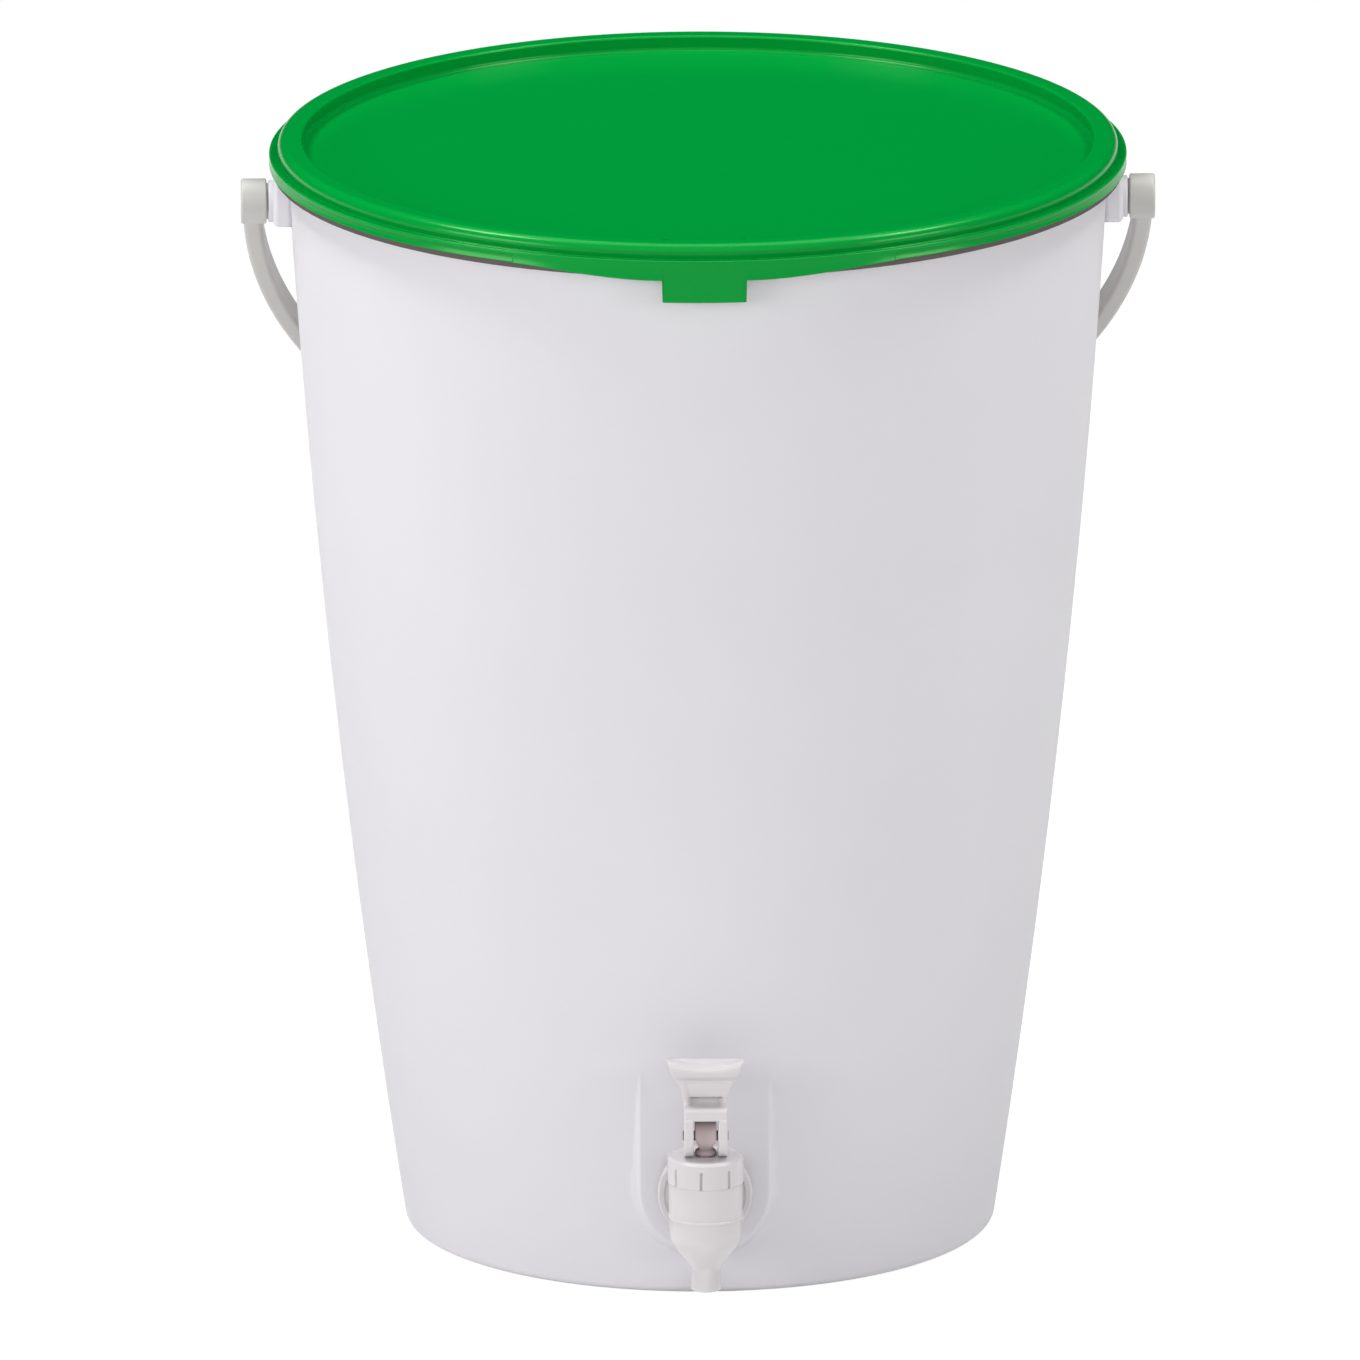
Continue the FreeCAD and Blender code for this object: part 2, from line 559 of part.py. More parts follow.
def tap_lever():
    """Forked thumb lever: two legs with cam heels, a block over the window, and a flared paddle."""
    swing = math.radians(LEVER_SWING)
    paddle_bottom = ARM_HEIGHT
    paddle_top = ARM_HEIGHT + PADDLE_HEIGHT
    nose = -PADDLE_DEPTH + PADDLE_NOSE
    fall = math.radians(PADDLE_FALL)
    paddle_back = paddle_top - (LEVER_BACK - nose) * math.tan(fall)
    side = [
        (LEVER_BACK, -HEEL_REACH + LEVER_CHAMFER), (LEVER_BACK - LEVER_CHAMFER, -HEEL_REACH), heel_point(0),
        (heel_point(swing / 4), heel_point(swing / 2)), (heel_point(swing * 3 / 4), heel_point(swing)),
        (-BLOCK_FRONT, BLOCK_FRONT_HEIGHT - LEVER_CHAMFER),
        (-BLOCK_FRONT + LEVER_CHAMFER / 2, BLOCK_FRONT_HEIGHT),
        (-ARM_FRONT, BLOCK_BACK_HEIGHT), (-ARM_FRONT, paddle_bottom - LEVER_CHAMFER),
        (-PADDLE_DEPTH + LEVER_CHAMFER, paddle_bottom + LEVER_CHAMFER),
        ((-PADDLE_DEPTH, paddle_bottom + PADDLE_HEIGHT / 2), (nose, paddle_top)), (LEVER_BACK, paddle_back),
        (LEVER_BACK + PADDLE_LEAN, paddle_back - PADDLE_EDGE), (ARM_BACK, paddle_bottom - LEVER_CHAMFER),
        (ARM_BACK, BLOCK_BACK_HEIGHT), (LEVER_BACK, BLOCK_FRONT_HEIGHT)]
    side = [tuple(shifted(pair) for pair in entry) if isinstance(entry[0], tuple) else shifted(entry)
            for entry in side]
    blank = prism_along_x(side, PADDLE_HALF_WIDTH)

    base = LEVER_PIVOT_HEIGHT
    flare = (LEG_OUTER + PADDLE_HALF_WIDTH) / 2
    flare_middle = base + (BLOCK_FRONT_HEIGHT + paddle_bottom) / 2 + LEVER_CHAMFER
    bowed = LEG_OUTER + FLARE_BOW * (flare - LEG_OUTER)
    bottom = base - HEEL_REACH
    top = base + paddle_top
    reach = 2 * HEEL_REACH
    front_view = prism_along_y([
        (-LEG_OUTER, bottom), (LEG_OUTER, bottom), (LEG_OUTER, base + BLOCK_FRONT_HEIGHT),
        ((bowed, flare_middle), (flare, base + paddle_bottom)),
        (PADDLE_HALF_WIDTH, top), (-PADDLE_HALF_WIDTH, top), (-flare, base + paddle_bottom),
        ((-bowed, flare_middle), (-LEG_OUTER, base + BLOCK_FRONT_HEIGHT))], TAP_Y - reach, TAP_Y + reach)
    window_top = base + STEM_HEAD_RADIUS + WINDOW_GAP
    window = prism_along_y([(-LEG_INNER, bottom), (LEG_INNER, bottom), (LEG_INNER, window_top),
                            (-LEG_INNER, window_top)], TAP_Y - reach, TAP_Y + reach)
    window = rounded(window, WINDOW_ROUND,
                     lambda edge: lies_at(edge, "z", window_top) and edge.BoundBox.YLength > reach)
    pin_hole = rod_along_x(LEVER_PIN_RADIUS + LEVER_PIN_CLEARANCE, -LEG_OUTER, LEG_OUTER,
                           TAP_Y, LEVER_PIVOT_HEIGHT)
    dish_radius = (PADDLE_HALF_WIDTH ** 2 + PADDLE_SAG ** 2) / (2 * PADDLE_SAG)
    back = Vector(0, math.cos(fall), -math.sin(fall))
    above = Vector(0, math.sin(fall), math.cos(fall))
    dish_start = Vector(0, nose + TAP_Y, top - PADDLE_SAG) + above * dish_radius - back * PADDLE_DEPTH
    dish = Part.makeCylinder(dish_radius, 4 * PADDLE_DEPTH, dish_start, back)
    return blank.common(front_view).cut([window, pin_hole, dish])


def shifted(pair):
    """A point given from the lever's pivot, in the bin's own Y and Z."""
    return (pair[0] + TAP_Y, pair[1] + LEVER_PIVOT_HEIGHT)


PIECES = {
    "bin_body": bin_body(),
    "lid": lid(),
    "lid_seal": lid_seal(),
    "bail_handle": bail_handle(),
    "drain_grate": drain_grate(),
    "tap_body": tap_body(),
    "tap_bonnet": tap_bonnet(),
    "tap_seat_cup": tap_seat_cup(),
    "tap_stem": tap_stem(),
    "tap_pivot_pin": tap_pivot_pin(),
    "tap_lever": tap_lever(),
    "tap_outer_washer": tap_washer(PAD_FACE - WASHER_THICKNESS),
    "tap_inner_washer": tap_washer(PAD_BACK),
    "tap_back_nut": tap_back_nut(),
}

os.makedirs("parts", exist_ok=True)
for name, shape in PIECES.items():
    if shape.ShapeType == "Compound" and len(shape.Solids) == 1:
        shape = shape.Solids[0]
    shape.exportStep("parts/" + name + ".step")
    print(name, shape.ShapeType, len(shape.Solids), shape.isValid(), round(shape.Volume), shape.BoundBox)
print("bail rests", round(bail_rest_angle(), 2), "degrees below level")
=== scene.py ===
import json
import math

import bmesh
import bpy
import numpy as np
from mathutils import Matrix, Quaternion, Vector


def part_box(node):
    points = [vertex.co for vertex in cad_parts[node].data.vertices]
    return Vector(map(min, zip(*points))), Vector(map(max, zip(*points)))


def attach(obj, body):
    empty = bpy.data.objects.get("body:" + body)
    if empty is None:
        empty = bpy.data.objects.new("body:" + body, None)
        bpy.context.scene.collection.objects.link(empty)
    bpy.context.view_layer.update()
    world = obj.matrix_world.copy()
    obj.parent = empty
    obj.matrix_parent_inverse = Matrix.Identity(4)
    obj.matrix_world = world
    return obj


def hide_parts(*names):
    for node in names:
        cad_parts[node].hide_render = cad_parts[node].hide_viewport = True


# Bokashi bin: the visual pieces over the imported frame.
# Shapes are worked out in millimetres in the row frame: +Z up, the tap at -Y, the bail's hinge along X.

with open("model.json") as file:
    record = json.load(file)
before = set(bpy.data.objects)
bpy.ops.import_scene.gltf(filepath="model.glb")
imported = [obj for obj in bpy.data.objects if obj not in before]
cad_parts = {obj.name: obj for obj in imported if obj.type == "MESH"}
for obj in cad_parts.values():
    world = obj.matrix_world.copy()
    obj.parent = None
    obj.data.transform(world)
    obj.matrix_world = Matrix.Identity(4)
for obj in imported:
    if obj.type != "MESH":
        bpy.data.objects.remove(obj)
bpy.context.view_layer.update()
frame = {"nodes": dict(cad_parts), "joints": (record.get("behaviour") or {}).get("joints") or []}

joint_places = {joint["name"]: joint.get("pos_m") for joint in frame["joints"]}


def low_and_high(node):
    """Lowest and highest corner of a CAD node, in millimetres."""
    low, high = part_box(node)
    return np.array(low) * 1000, np.array(high) * 1000


# Places taken from the frame
PIVOT_Z = joint_places["handle_swing"][2] * 1000
TAP_Y = joint_places["lever_tilt"][1] * 1000
LEVER_Z = joint_places["lever_tilt"][2] * 1000
washer_low, washer_high = low_and_high("tap_outer_washer")
WASHER_FRONT, WASHER_BACK = washer_low[1], washer_high[1]
TAP_Z = (washer_low[2] + washer_high[2]) / 2
BONNET_LOW, BONNET_TOP = (corner[2] for corner in low_and_high("tap_bonnet"))
RIM_TOP, SEAL_TOP = (corner[2] for corner in low_and_high("lid_seal"))
TAB_LOW, LID_TOP = (corner[2] for corner in low_and_high("lid"))
SPOUT_LOW = low_and_high("tap_body")[0][2]
HUB_END = low_and_high("bail_handle")[1][0]

# Bucket
FOOT_RADIUS = 102.6
FOOT_ROUND = 3.2
FOOT_RING = 14.5
FOOT_RECESS = 2.5
FLOOR_TOP = 5.5
TOP_RADIUS = 143.0
SHOULDER_Z = RIM_TOP - 6.5
WALL_BOW = 4.55
WALL = 2.4
NECK_STEP = 1.6
BEAD_STEP = 0.7
BEAD_HEIGHT = 3.0
PAD_FACE = WASHER_BACK
PAD_BACK = PAD_FACE + 3.0
PAD_HALF_WIDTH = 23.0
PAD_DRAFT = math.tan(math.radians(20))
SHANK_HOLE = 10.75

# Ears
EAR_ROOT = 140.9
EAR_FACE = 148.0
EAR_HALF_WIDTH = 10.0
EAR_BELOW = 7.3
EAR_ABOVE = 10.5
EAR_ROUND = 1.8
EAR_CORNER = 2.2
BOSS_ROOT = 145.0
BOSS_FACE = 149.75
BOSS_RADIUS = 7.3
PIN_BORE = 3.58

# Lid
LID_EDGE = 149.98
LID_WALL = 2.0
PANEL_DEPTH = 5.7
RECESS_RADIUS = 138.0
CROWN_RADIUS = 147.2
GROOVE_RADIUS = 146.0
GROOVE_DEPTH = 5.7
EDGE_DEPTH = 5.0
CHANNEL_INNER = 140.0
CHANNEL_OUTER = 144.5
SKIRT_LOW = LID_TOP - 9.0
LIP_DEPTH = 3.0
LIP_FLAT = 24.0
LIP_END = 66.0
LIP_STEP = 0.55
TAB_HALF_WIDTH = 14.7

# Seal
SEAL_INNER = 140.9
# The flap is a dark sheet drawn as painted shade, for the shadow line in the gap under the skirt
SEAL_OUTER = 144.4
SHADE_FLAP_INNER = 143.95
SHADE_FLAP_STEP = 147.2
SHADE_FLAP_EDGE = 148.4
SHADE_FLAP_LOW = SKIRT_LOW - 2.3

# Bail
BAIL_HALF_SPAN = HUB_END - 4.0
BAIL_DROP = 195.3
BAIL_REST = math.radians(45.41)
BAIL_HALF_THICKNESS = 3.2
BAIL_HALF_WIDTH = 4.75
PIN_END = 143.9
PIN_RADIUS = 3.5
COLLAR_RADIUS = 6.3
HUB_RADIUS = 7.9
HUB_FACE = HUB_END - 8.9
DIMPLE_RADIUS = 5.2
DIMPLE_DEPTH = 0.5

# Tap
SPOUT_BORE = 4.0
SPOUT_RADIUS = 5.15
CONE_RADIUS = 12.55
RING_RADIUS = 13.2
RING_LOW = SPOUT_LOW + 26.1
BARREL_RADIUS = 12.75
CAP_NECK = 11.2
CAP_NECK_TOP = BONNET_LOW + 5.3
CHAMBER_RADIUS = 9.2
CHAMBER_LOW = 31.0
ARM_START = TAP_Y + 9.4
ARM_RADIUS = 6.7
FLANGE_FRONT = WASHER_FRONT - 3.0
FLANGE_RADIUS = 16.5
FLANGE_RIM = 0.5
SHANK_BORE = 4.7
SHANK_RADIUS = 10.45
SHANK_END = PAD_BACK + 14.5
CAP_RADIUS = 13.25
CAP_BORE = 3.4
CAP_INSIDE = 11.25
CAP_ROOF = 2.2
CAP_GROOVES = 8
CAP_TURN = 0.83
GROOVE_PRESS = 0.9
WASHER_RADIUS = 15.5

# Lever, stem and pin, from the lever's pivot
PADDLE_HALF_WIDTH = 13.5
PADDLE_TOP = 28.1
PADDLE_CORNERS = 28.4
LEVER_BACK = 5.0
LEVER_FRONT_STEPS = 33
LEVER_RISE = 3.5
LEVER_SWING = math.radians(85)
HEEL_REACH = 6.7
LEG_PLACE = 5.93
LEG_HALF_WIDTH = 1.62
HEAD_RADIUS = 5.7
HEAD_HALF_WIDTH = 3.75
LEVER_PIN_RADIUS = 1.75
LEVER_PIN_HALF_LENGTH = 8.0

FULL_TURN = np.radians(np.arange(0, 360, 3.0))


def rounded_path(corners, steps=6):
    """Open path through corners (a, b, radius).

    Each corner with a radius becomes an arc that touches both of its sides: the arc's middle lies on the
    bisector at radius / sin(half angle), and its points turn evenly from one touching point to the other.
    """
    points = np.array([corner[:2] for corner in corners], float)
    path = [points[:1]]
    for before, here, after, corner in zip(points, points[1:], points[2:], corners[1:]):
        radius = corner[2]
        if radius == 0:
            path.append(here[None])
            continue
        to_before = (before - here) / np.linalg.norm(before - here)
        to_after = (after - here) / np.linalg.norm(after - here)
        half = math.acos(np.clip(to_before @ to_after, -1, 1)) / 2
        bisector = to_before + to_after
        middle = here + bisector / np.linalg.norm(bisector) * radius / math.sin(half)
        start = here + to_before * radius / math.tan(half) - middle
        end = here + to_after * radius / math.tan(half) - middle
        first = math.atan2(start[1], start[0])
        turn = (math.atan2(end[1], end[0]) - first + math.pi) % (2 * math.pi) - math.pi
        angles = first + turn * np.linspace(0, 1, steps + 1)
        path.append(middle + radius * np.stack([np.cos(angles), np.sin(angles)], axis=-1))
    path.append(points[-1:])
    return np.concatenate(path)


def turned(profile, centre, along="z", angles=FULL_TURN):
    """Surface of revolution: a profile (radius, height) carried round an axis by an angle from the front."""
    radius, height = profile[:, :1], profile[:, 1:2]
    across = radius * np.sin(angles)
    ahead = -radius * np.cos(angles)
    level = height + 0 * angles
    order = {"x": (level, across, ahead), "y": (across, level, ahead), "z": (across, ahead, level)}[along]
    return np.stack(order, axis=-1) + np.array(centre, float)


def capped(grid):
    """The grid with its first and last loops drawn together at their own middles, which closes the ends."""
    first = np.broadcast_to(grid[0].mean(axis=0), grid[0].shape)
    last = np.broadcast_to(grid[-1].mean(axis=0), grid[-1].shape)
    return np.concatenate([first[None], grid, last[None]])


def rounded_rectangle(half_width, half_height, radius, steps=6):
    """Closed loop of a rectangle about its middle, with a quarter circle at each corner."""
    quarter = np.linspace(0, math.pi / 2, steps + 1)
    turns = np.concatenate([quarter, quarter + math.pi / 2, quarter + math.pi, quarter + 1.5 * math.pi])
    signs = np.repeat(np.array([(1, 1), (-1, 1), (-1, -1), (1, -1)]), steps + 1, axis=0)
    middles = signs * np.array([half_width - radius, half_height - radius])
    return middles + radius * np.stack([np.cos(turns), np.sin(turns)], axis=-1)


def smooth_min(a, b, width):
    """Lower of two heights, blended by a parabola where they are within a width of each other."""
    share = np.clip(0.5 + 0.5 * (b - a) / width, 0, 1)
    return b + (a - b) * share - width * share * (1 - share)


def smooth_step(value, start, end):
    """0 before start and 1 after end, with an even S-shaped cubic between them."""
    share = np.clip((value - start) / (end - start), 0, 1)
    return share * share * (3 - 2 * share)


def grid_faces(rows, columns, joined_rows):
    """Corner numbers of the four-sided faces between neighbours of a grid whose columns join up."""
    row = np.arange(rows if joined_rows else rows - 1)[:, None]
    column = np.arange(columns)[None, :]
    next_row = (row + 1) % rows
    next_column = (column + 1) % columns
    corners = [row * columns + column, row * columns + next_column,
               next_row * columns + next_column, next_row * columns + column]
    return np.stack(np.broadcast_arrays(*corners), axis=-1).reshape(-1, 4)


def closed_mesh(name, surfaces):
    """Mesh in metres of closed surfaces, given as (grid, whether its rows join up), facing outward."""
    points, faces, start = [], [], 0
    for grid, joined_rows in surfaces:
        rows, columns = grid.shape[:2]
        points.append(grid.reshape(-1, 3))
        faces.append(grid_faces(rows, columns, joined_rows) + start)
        start += rows * columns
    mesh = bpy.data.meshes.new(name)
    mesh.from_pydata((np.concatenate(points) / 1000).tolist(), [], np.concatenate(faces).tolist())
    work = bmesh.new()
    work.from_mesh(mesh)
    bmesh.ops.remove_doubles(work, verts=work.verts, dist=1e-7)
    bmesh.ops.recalc_face_normals(work, faces=work.faces)
    work.to_mesh(mesh)
    work.free()
    return mesh


def piece(name, surfaces, node, body, material):
    """Object that stands for a CAD node: smooth with flat faces kept flat, its finish, and its place."""
    made = bpy.data.objects.new(name, closed_mesh(name, surfaces))
    bpy.context.scene.collection.objects.link(made)
    made.data.polygons.foreach_set("use_smooth", np.ones(len(made.data.polygons), bool))
    made.data.materials.append(material)
    normals = made.modifiers.new("flat faces stay flat", "WEIGHTED_NORMAL")
    normals.keep_sharp = True
    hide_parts(node)
    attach(made, body)
    return made


# Finishes

def colour(code):
    """Linear colour of an sRGB hex code."""
    srgb = np.array([int(code[place:place + 2], 16) for place in (1, 3, 5)]) / 255
    linear = np.where(srgb <= 0.04045, srgb / 12.92, ((srgb + 0.055) / 1.055) ** 2.4)
    return (*linear.tolist(), 1.0)


def add_node(tree, kind, inputs=None, **settings):
    """Adds a node, sets its own settings, and fills its inputs, each with a link or a value."""
    node = tree.nodes.new(kind)
    for key, value in settings.items():
        setattr(node, key, value)
    for key, value in (inputs or {}).items():
        if isinstance(value, bpy.types.NodeSocket):
            tree.links.new(value, node.inputs[key])
        else:
            node.inputs[key].default_value = value
    return node


def moulded(name, light, deep, roughness, patch_mm, grit_mm, grit_depth_mm, ior=1.49, shine=0.5,
            glint="#FFFFFF"):
    """Moulded polymer: two near tones in soft patches, roughness that follows them, and a grit of bumps."""
    material = bpy.data.materials.new(name)
    material.use_nodes = True
    tree = material.node_tree
    shader = tree.nodes["Principled BSDF"]
    place = add_node(tree, "ShaderNodeTexCoord").outputs["Object"]
    patches = add_node(tree, "ShaderNodeTexNoise", {"Vector": place, "Scale": 1000 / patch_mm, "Detail": 3.0})
    tone = add_node(tree, "ShaderNodeMix", {0: patches.outputs["Fac"], 6: colour(light), 7: colour(deep)},
                    data_type="RGBA")
    gloss = add_node(tree, "ShaderNodeMapRange", {"Value": patches.outputs["Fac"],
                                                  "To Min": roughness - 0.03, "To Max": roughness + 0.03})
    grit = add_node(tree, "ShaderNodeTexNoise", {"Vector": place, "Scale": 1000 / grit_mm, "Detail": 2.0})
    bumps = add_node(tree, "ShaderNodeBump", {"Height": grit.outputs["Fac"], "Strength": 0.3,
                                              "Distance": grit_depth_mm / 1000})
    tree.links.new(tone.outputs[2], shader.inputs["Base Color"])
    tree.links.new(gloss.outputs["Result"], shader.inputs["Roughness"])
    tree.links.new(bumps.outputs["Normal"], shader.inputs["Normal"])
    shader.inputs["IOR"].default_value = ior
    shader.inputs["Specular IOR Level"].default_value = shine
    shader.inputs["Specular Tint"].default_value = colour(glint)
    return material


# Moulded white polypropylene: satin, so that the lamps spread into broad soft bands on the wall.
bucket_polypropylene = moulded("moulded white polypropylene", "#E3E1E5", "#DFDDE1", 0.42, 60, 1.5, 0.01,
                               shine=0.12)
# Moulded green polypropylene from a polished tool: glossier, with clear thin lights along its edges.
lid_polypropylene = moulded("moulded green polypropylene", "#00983A", "#009438", 0.22, 60, 1.5, 0.006,
                            shine=0.3, glint="#BCFFB4")
# Moulded natural polypropylene with a grey cast, for the bail: a little waxy.
bail_polypropylene = moulded("moulded grey polypropylene", "#C8C6C2", "#C2C0BC", 0.4, 20, 1.2, 0.01)
# Moulded recycled polypropylene, for the grate: dull.
grate_polypropylene = moulded("moulded dull polypropylene", "#CFCFCC", "#C6C6C3", 0.55, 15, 1.0, 0.02)
# Moulded ABS, for the tap: harder and shinier than the bucket, with narrow lights on the barrel.
tap_abs = moulded("moulded white ABS", "#DAD6D8", "#D7D3D5", 0.22, 12, 1.0, 0.003, 1.53, 0.25)
# Moulded acetal, for the stem: grey-brown and dull, its colour painted paler than the acetal as painted light
# against the lever's shade.
stem_acetal_painted_light = moulded("moulded acetal", "#D6C4C6", "#D0BEC0", 0.4, 6, 0.8, 0.004, 1.48)
# Moulded rubber, for the lid's ring: dull, and dark so that its flap shows below the skirt as a painted shade
# line.
seal_rubber_painted_shade = moulded("moulded rubber, dark as painted shade", "#5C5452", "#544C4A", 0.7, 8, 0.6, 0.02, 1.52)
# Moulded silicone, for the seat cup: milky.
cup_silicone = moulded("moulded silicone", "#DAD8D2", "#D4D2CC", 0.5, 6, 0.6, 0.006, 1.41)
# Rubber sheet cut with a punch, for the washers: pale and without a highlight.
washer_rubber = moulded("cut rubber sheet", "#C4C1BE", "#BCB9B6", 0.7, 5, 0.5, 0.02, 1.52)
# Drawn stainless wire, for the lever's pin: dark between bright lines.
pin_steel = bpy.data.materials.new("drawn stainless wire")
pin_steel.use_nodes = True
pin_shader = pin_steel.node_tree.nodes["Principled BSDF"]
pin_shader.inputs["Base Color"].default_value = colour("#8C8A88")
pin_shader.inputs["Metallic"].default_value = 1.0
pin_shader.inputs["Roughness"].default_value = 0.32


# Bucket

def wall_arc():
    """Middle and radius of the circle through the foot, the shoulder and a halfway point bowed out.

    Equal distances to three points give two linear equations for the middle.
    """
    foot = np.array([FOOT_RADIUS, 0.0])
    shoulder = np.array([TOP_RADIUS, SHOULDER_Z])
    halfway = (foot + shoulder) / 2 + np.array([WALL_BOW, 0.0])
    sides = 2 * np.array([shoulder - foot, halfway - foot])
    squares = np.array([shoulder @ shoulder - foot @ foot, halfway @ halfway - foot @ foot])
    middle = np.linalg.solve(sides, squares)
    return middle, np.linalg.norm(foot - middle)


WALL_MIDDLE, WALL_RADIUS = wall_arc()


def wall_radius(height):
    """Outer radius of the wall at a height, on the arc."""
    return WALL_MIDDLE[0] + np.sqrt(WALL_RADIUS ** 2 - (height - WALL_MIDDLE[1]) ** 2)


def pad_depth(x, z, face, half_width):
    """Y of the tap pad: flat inside a U round the shank, then falling back at the draft angle.

    The distance outside the U is the distance to the upright line above the shank, less the half width.
    """
    outside = np.hypot(x, np.minimum(z - TAP_Z, 0)) - half_width
    return face - smooth_min(-outside, 0 * outside, 0.8) / PAD_DRAFT


def bucket_grid():
    """Closed shell: foot, wall, rim, inner wall and floor turned round, with the tap pad pushed out."""
    # Finer steps at the sides and foot of the pad
    fine = [np.arange(-180, -20, 2), np.arange(-20, -15, 0.6), np.arange(-15, -9, 0.2),
            np.arange(-9, 9, 0.6), np.arange(9, 15, 0.2), np.arange(15, 20, 0.6), np.arange(20, 180, 2)]
    angles = np.radians(np.concatenate(fine))
    heights = np.concatenate([np.arange(7, 13, 1.0), np.arange(13, 26, 0.4), np.arange(26, 92, 1.2),
                              np.arange(92, SHOULDER_Z - 4, 8.0)])
    inner_heights = np.concatenate([np.arange(SHOULDER_Z - 6, 92, -8.0), np.arange(92, 14, -2.0)])
    recess = FOOT_RADIUS - FOOT_RING
    foot = rounded_path([(0, FOOT_RECESS, 0), (recess / 2, FOOT_RECESS, 0), (recess, FOOT_RECESS, 0.6),
                         (recess, 0, 0.6), (FOOT_RADIUS, 0, FOOT_ROUND), (wall_radius(7.0), 7.0, 0)], 8)[:-1]
    outer = np.stack([wall_radius(heights), heights], axis=-1)
    bore = TOP_RADIUS - WALL
    neck = TOP_RADIUS - NECK_STEP
    bead = TOP_RADIUS + BEAD_STEP
    bead_low = RIM_TOP - BEAD_HEIGHT
    shoulder = SHOULDER_Z - 0.7
    rim = rounded_path([(wall_radius(shoulder - 3), shoulder - 3, 0), (wall_radius(shoulder), shoulder, 0.25),
                        (neck, shoulder + 0.05, 0.1), (neck, bead_low, 0.3), (bead, bead_low, 0.9),
                        (bead, RIM_TOP, 0.9), (bore, RIM_TOP, 0.5), (bore, shoulder, 0)], 5)
    inner = np.stack([wall_radius(inner_heights) - WALL, inner_heights], axis=-1)
    floor = rounded_path([(wall_radius(14.0) - WALL, 14.0, 0),
                          (wall_radius(FLOOR_TOP) - WALL, FLOOR_TOP, 5.0),
                          (recess / 2, FLOOR_TOP, 0), (0, FLOOR_TOP, 0)], 6)
    grid = turned(np.concatenate([foot, outer, rim, inner, floor]), (0, 0, 0), angles=angles)
    x, y, z = grid[..., 0], grid[..., 1], grid[..., 2]
    ahead = (y < 0) & (np.abs(x) < 45)
    row = np.arange(len(grid))[:, None]
    first_inner = len(foot) + len(outer) + len(rim)
    on_wall = ahead & (row >= len(foot) - 3) & (row < first_inner - 20)
    on_inner = ahead & (row >= first_inner) & (z > 6)
    pushed = smooth_min(y, pad_depth(x, z, PAD_FACE, PAD_HALF_WIDTH), 0.4)
    sunk = smooth_min(y, pad_depth(x, z, PAD_BACK, PAD_HALF_WIDTH - 3.0), 0.8)
    grid[..., 1] = np.where(on_wall, pushed, np.where(on_inner, sunk, y))
    return grid


def bored(made, cutter_grid):
    """Cuts a hole through the piece, while the modifier that keeps flat faces flat is put aside."""
    cutter = bpy.data.objects.new("hole", closed_mesh("hole", [(cutter_grid, False)]))
    bpy.context.scene.collection.objects.link(cutter)
    cut = made.modifiers.new("hole", "BOOLEAN")
    cut.operation = "DIFFERENCE"
    cut.solver = "EXACT"
    cut.object = cutter
    made.modifiers.move(len(made.modifiers) - 1, 0)
    made.modifiers[1].show_viewport = False
    result = bpy.data.meshes.new_from_object(made.evaluated_get(bpy.context.evaluated_depsgraph_get()))
    made.modifiers.remove(cut)
    made.modifiers[0].show_viewport = True
    made.data = result
    bpy.data.objects.remove(cutter)


bucket = piece("bucket", [(bucket_grid(), False)], "bin_body", "bin", bucket_polypropylene)
hole_start, hole_end = PAD_FACE - 4, PAD_BACK + 6
shank_hole = np.array([(0, hole_start), (SHANK_HOLE, hole_start), (SHANK_HOLE, hole_end), (0, hole_end)],
                      float)
bored(bucket, turned(shank_hole, (0, 0, TAP_Z), "y"))


def ear_surfaces(side):
    """Ear block, whose rounded rectangles shrink along a quarter circle to its face, and its round boss."""
    half_height = (EAR_ABOVE + EAR_BELOW) / 2
    middle_z = PIVOT_Z + (EAR_ABOVE - EAR_BELOW) / 2
    quarter = np.linspace(0, math.pi / 2, 6)
    insets = np.concatenate([[0, 0], EAR_ROUND * (1 - np.cos(quarter))])
    places = np.concatenate([[EAR_ROOT, EAR_ROOT + 2.6], EAR_FACE - EAR_ROUND + EAR_ROUND * np.sin(quarter)])
    loops = [rounded_rectangle(EAR_HALF_WIDTH - inset, half_height - inset, max(EAR_CORNER - inset, 0.4))
             for inset in insets]
    block = np.stack([np.column_stack([np.full(len(loop), side * place), loop[:, 0], loop[:, 1] + middle_z])
                      for place, loop in zip(places, loops)])
    bore_end = BOSS_ROOT + 0.5
    boss = rounded_path([(0, BOSS_ROOT, 0), (BOSS_RADIUS, BOSS_ROOT, 0), (BOSS_RADIUS, BOSS_FACE, 0.5),
                         (PIN_BORE, BOSS_FACE, 0.2), (PIN_BORE, bore_end, 0), (0, bore_end, 0)], 4)
    return [(capped(block), False), (turned(boss * np.array([1, side]), (0, 0, PIVOT_Z), "x"), False)]


for side, name in ((-1, "left"), (1, "right")):
    piece(name + "_ear", ear_surfaces(side), "bin_body", "bin", bucket_polypropylene)


# Lid

def beside_tab(angles):
    """Distance across from the middle of the tab on the front half, and past every edge on the back half."""
    return np.abs(LID_EDGE * np.sin(angles)) + np.where(np.cos(angles) > 0, 0, 2 * LID_EDGE)


def skirt_drop(angles):
    """How far the skirt's edge hangs below its level: a lip that eases in to the front, and the tab."""
    across = beside_tab(angles)
    lip = LIP_DEPTH * (1 - smooth_step(across, LIP_FLAT - 6, LIP_END + 6))
    tab = 1 - smooth_step(across, TAB_HALF_WIDTH - 0.15, TAB_HALF_WIDTH + 0.05)
    return lip + (SKIRT_LOW - TAB_LOW - lip) * tab


def lip_step(angles):
    """How far the skirt stands back outside the lip, which ends in a small sharp step on each side."""
    return LIP_STEP * smooth_step(beside_tab(angles), LIP_END + 0.2, LIP_END + 0.8)


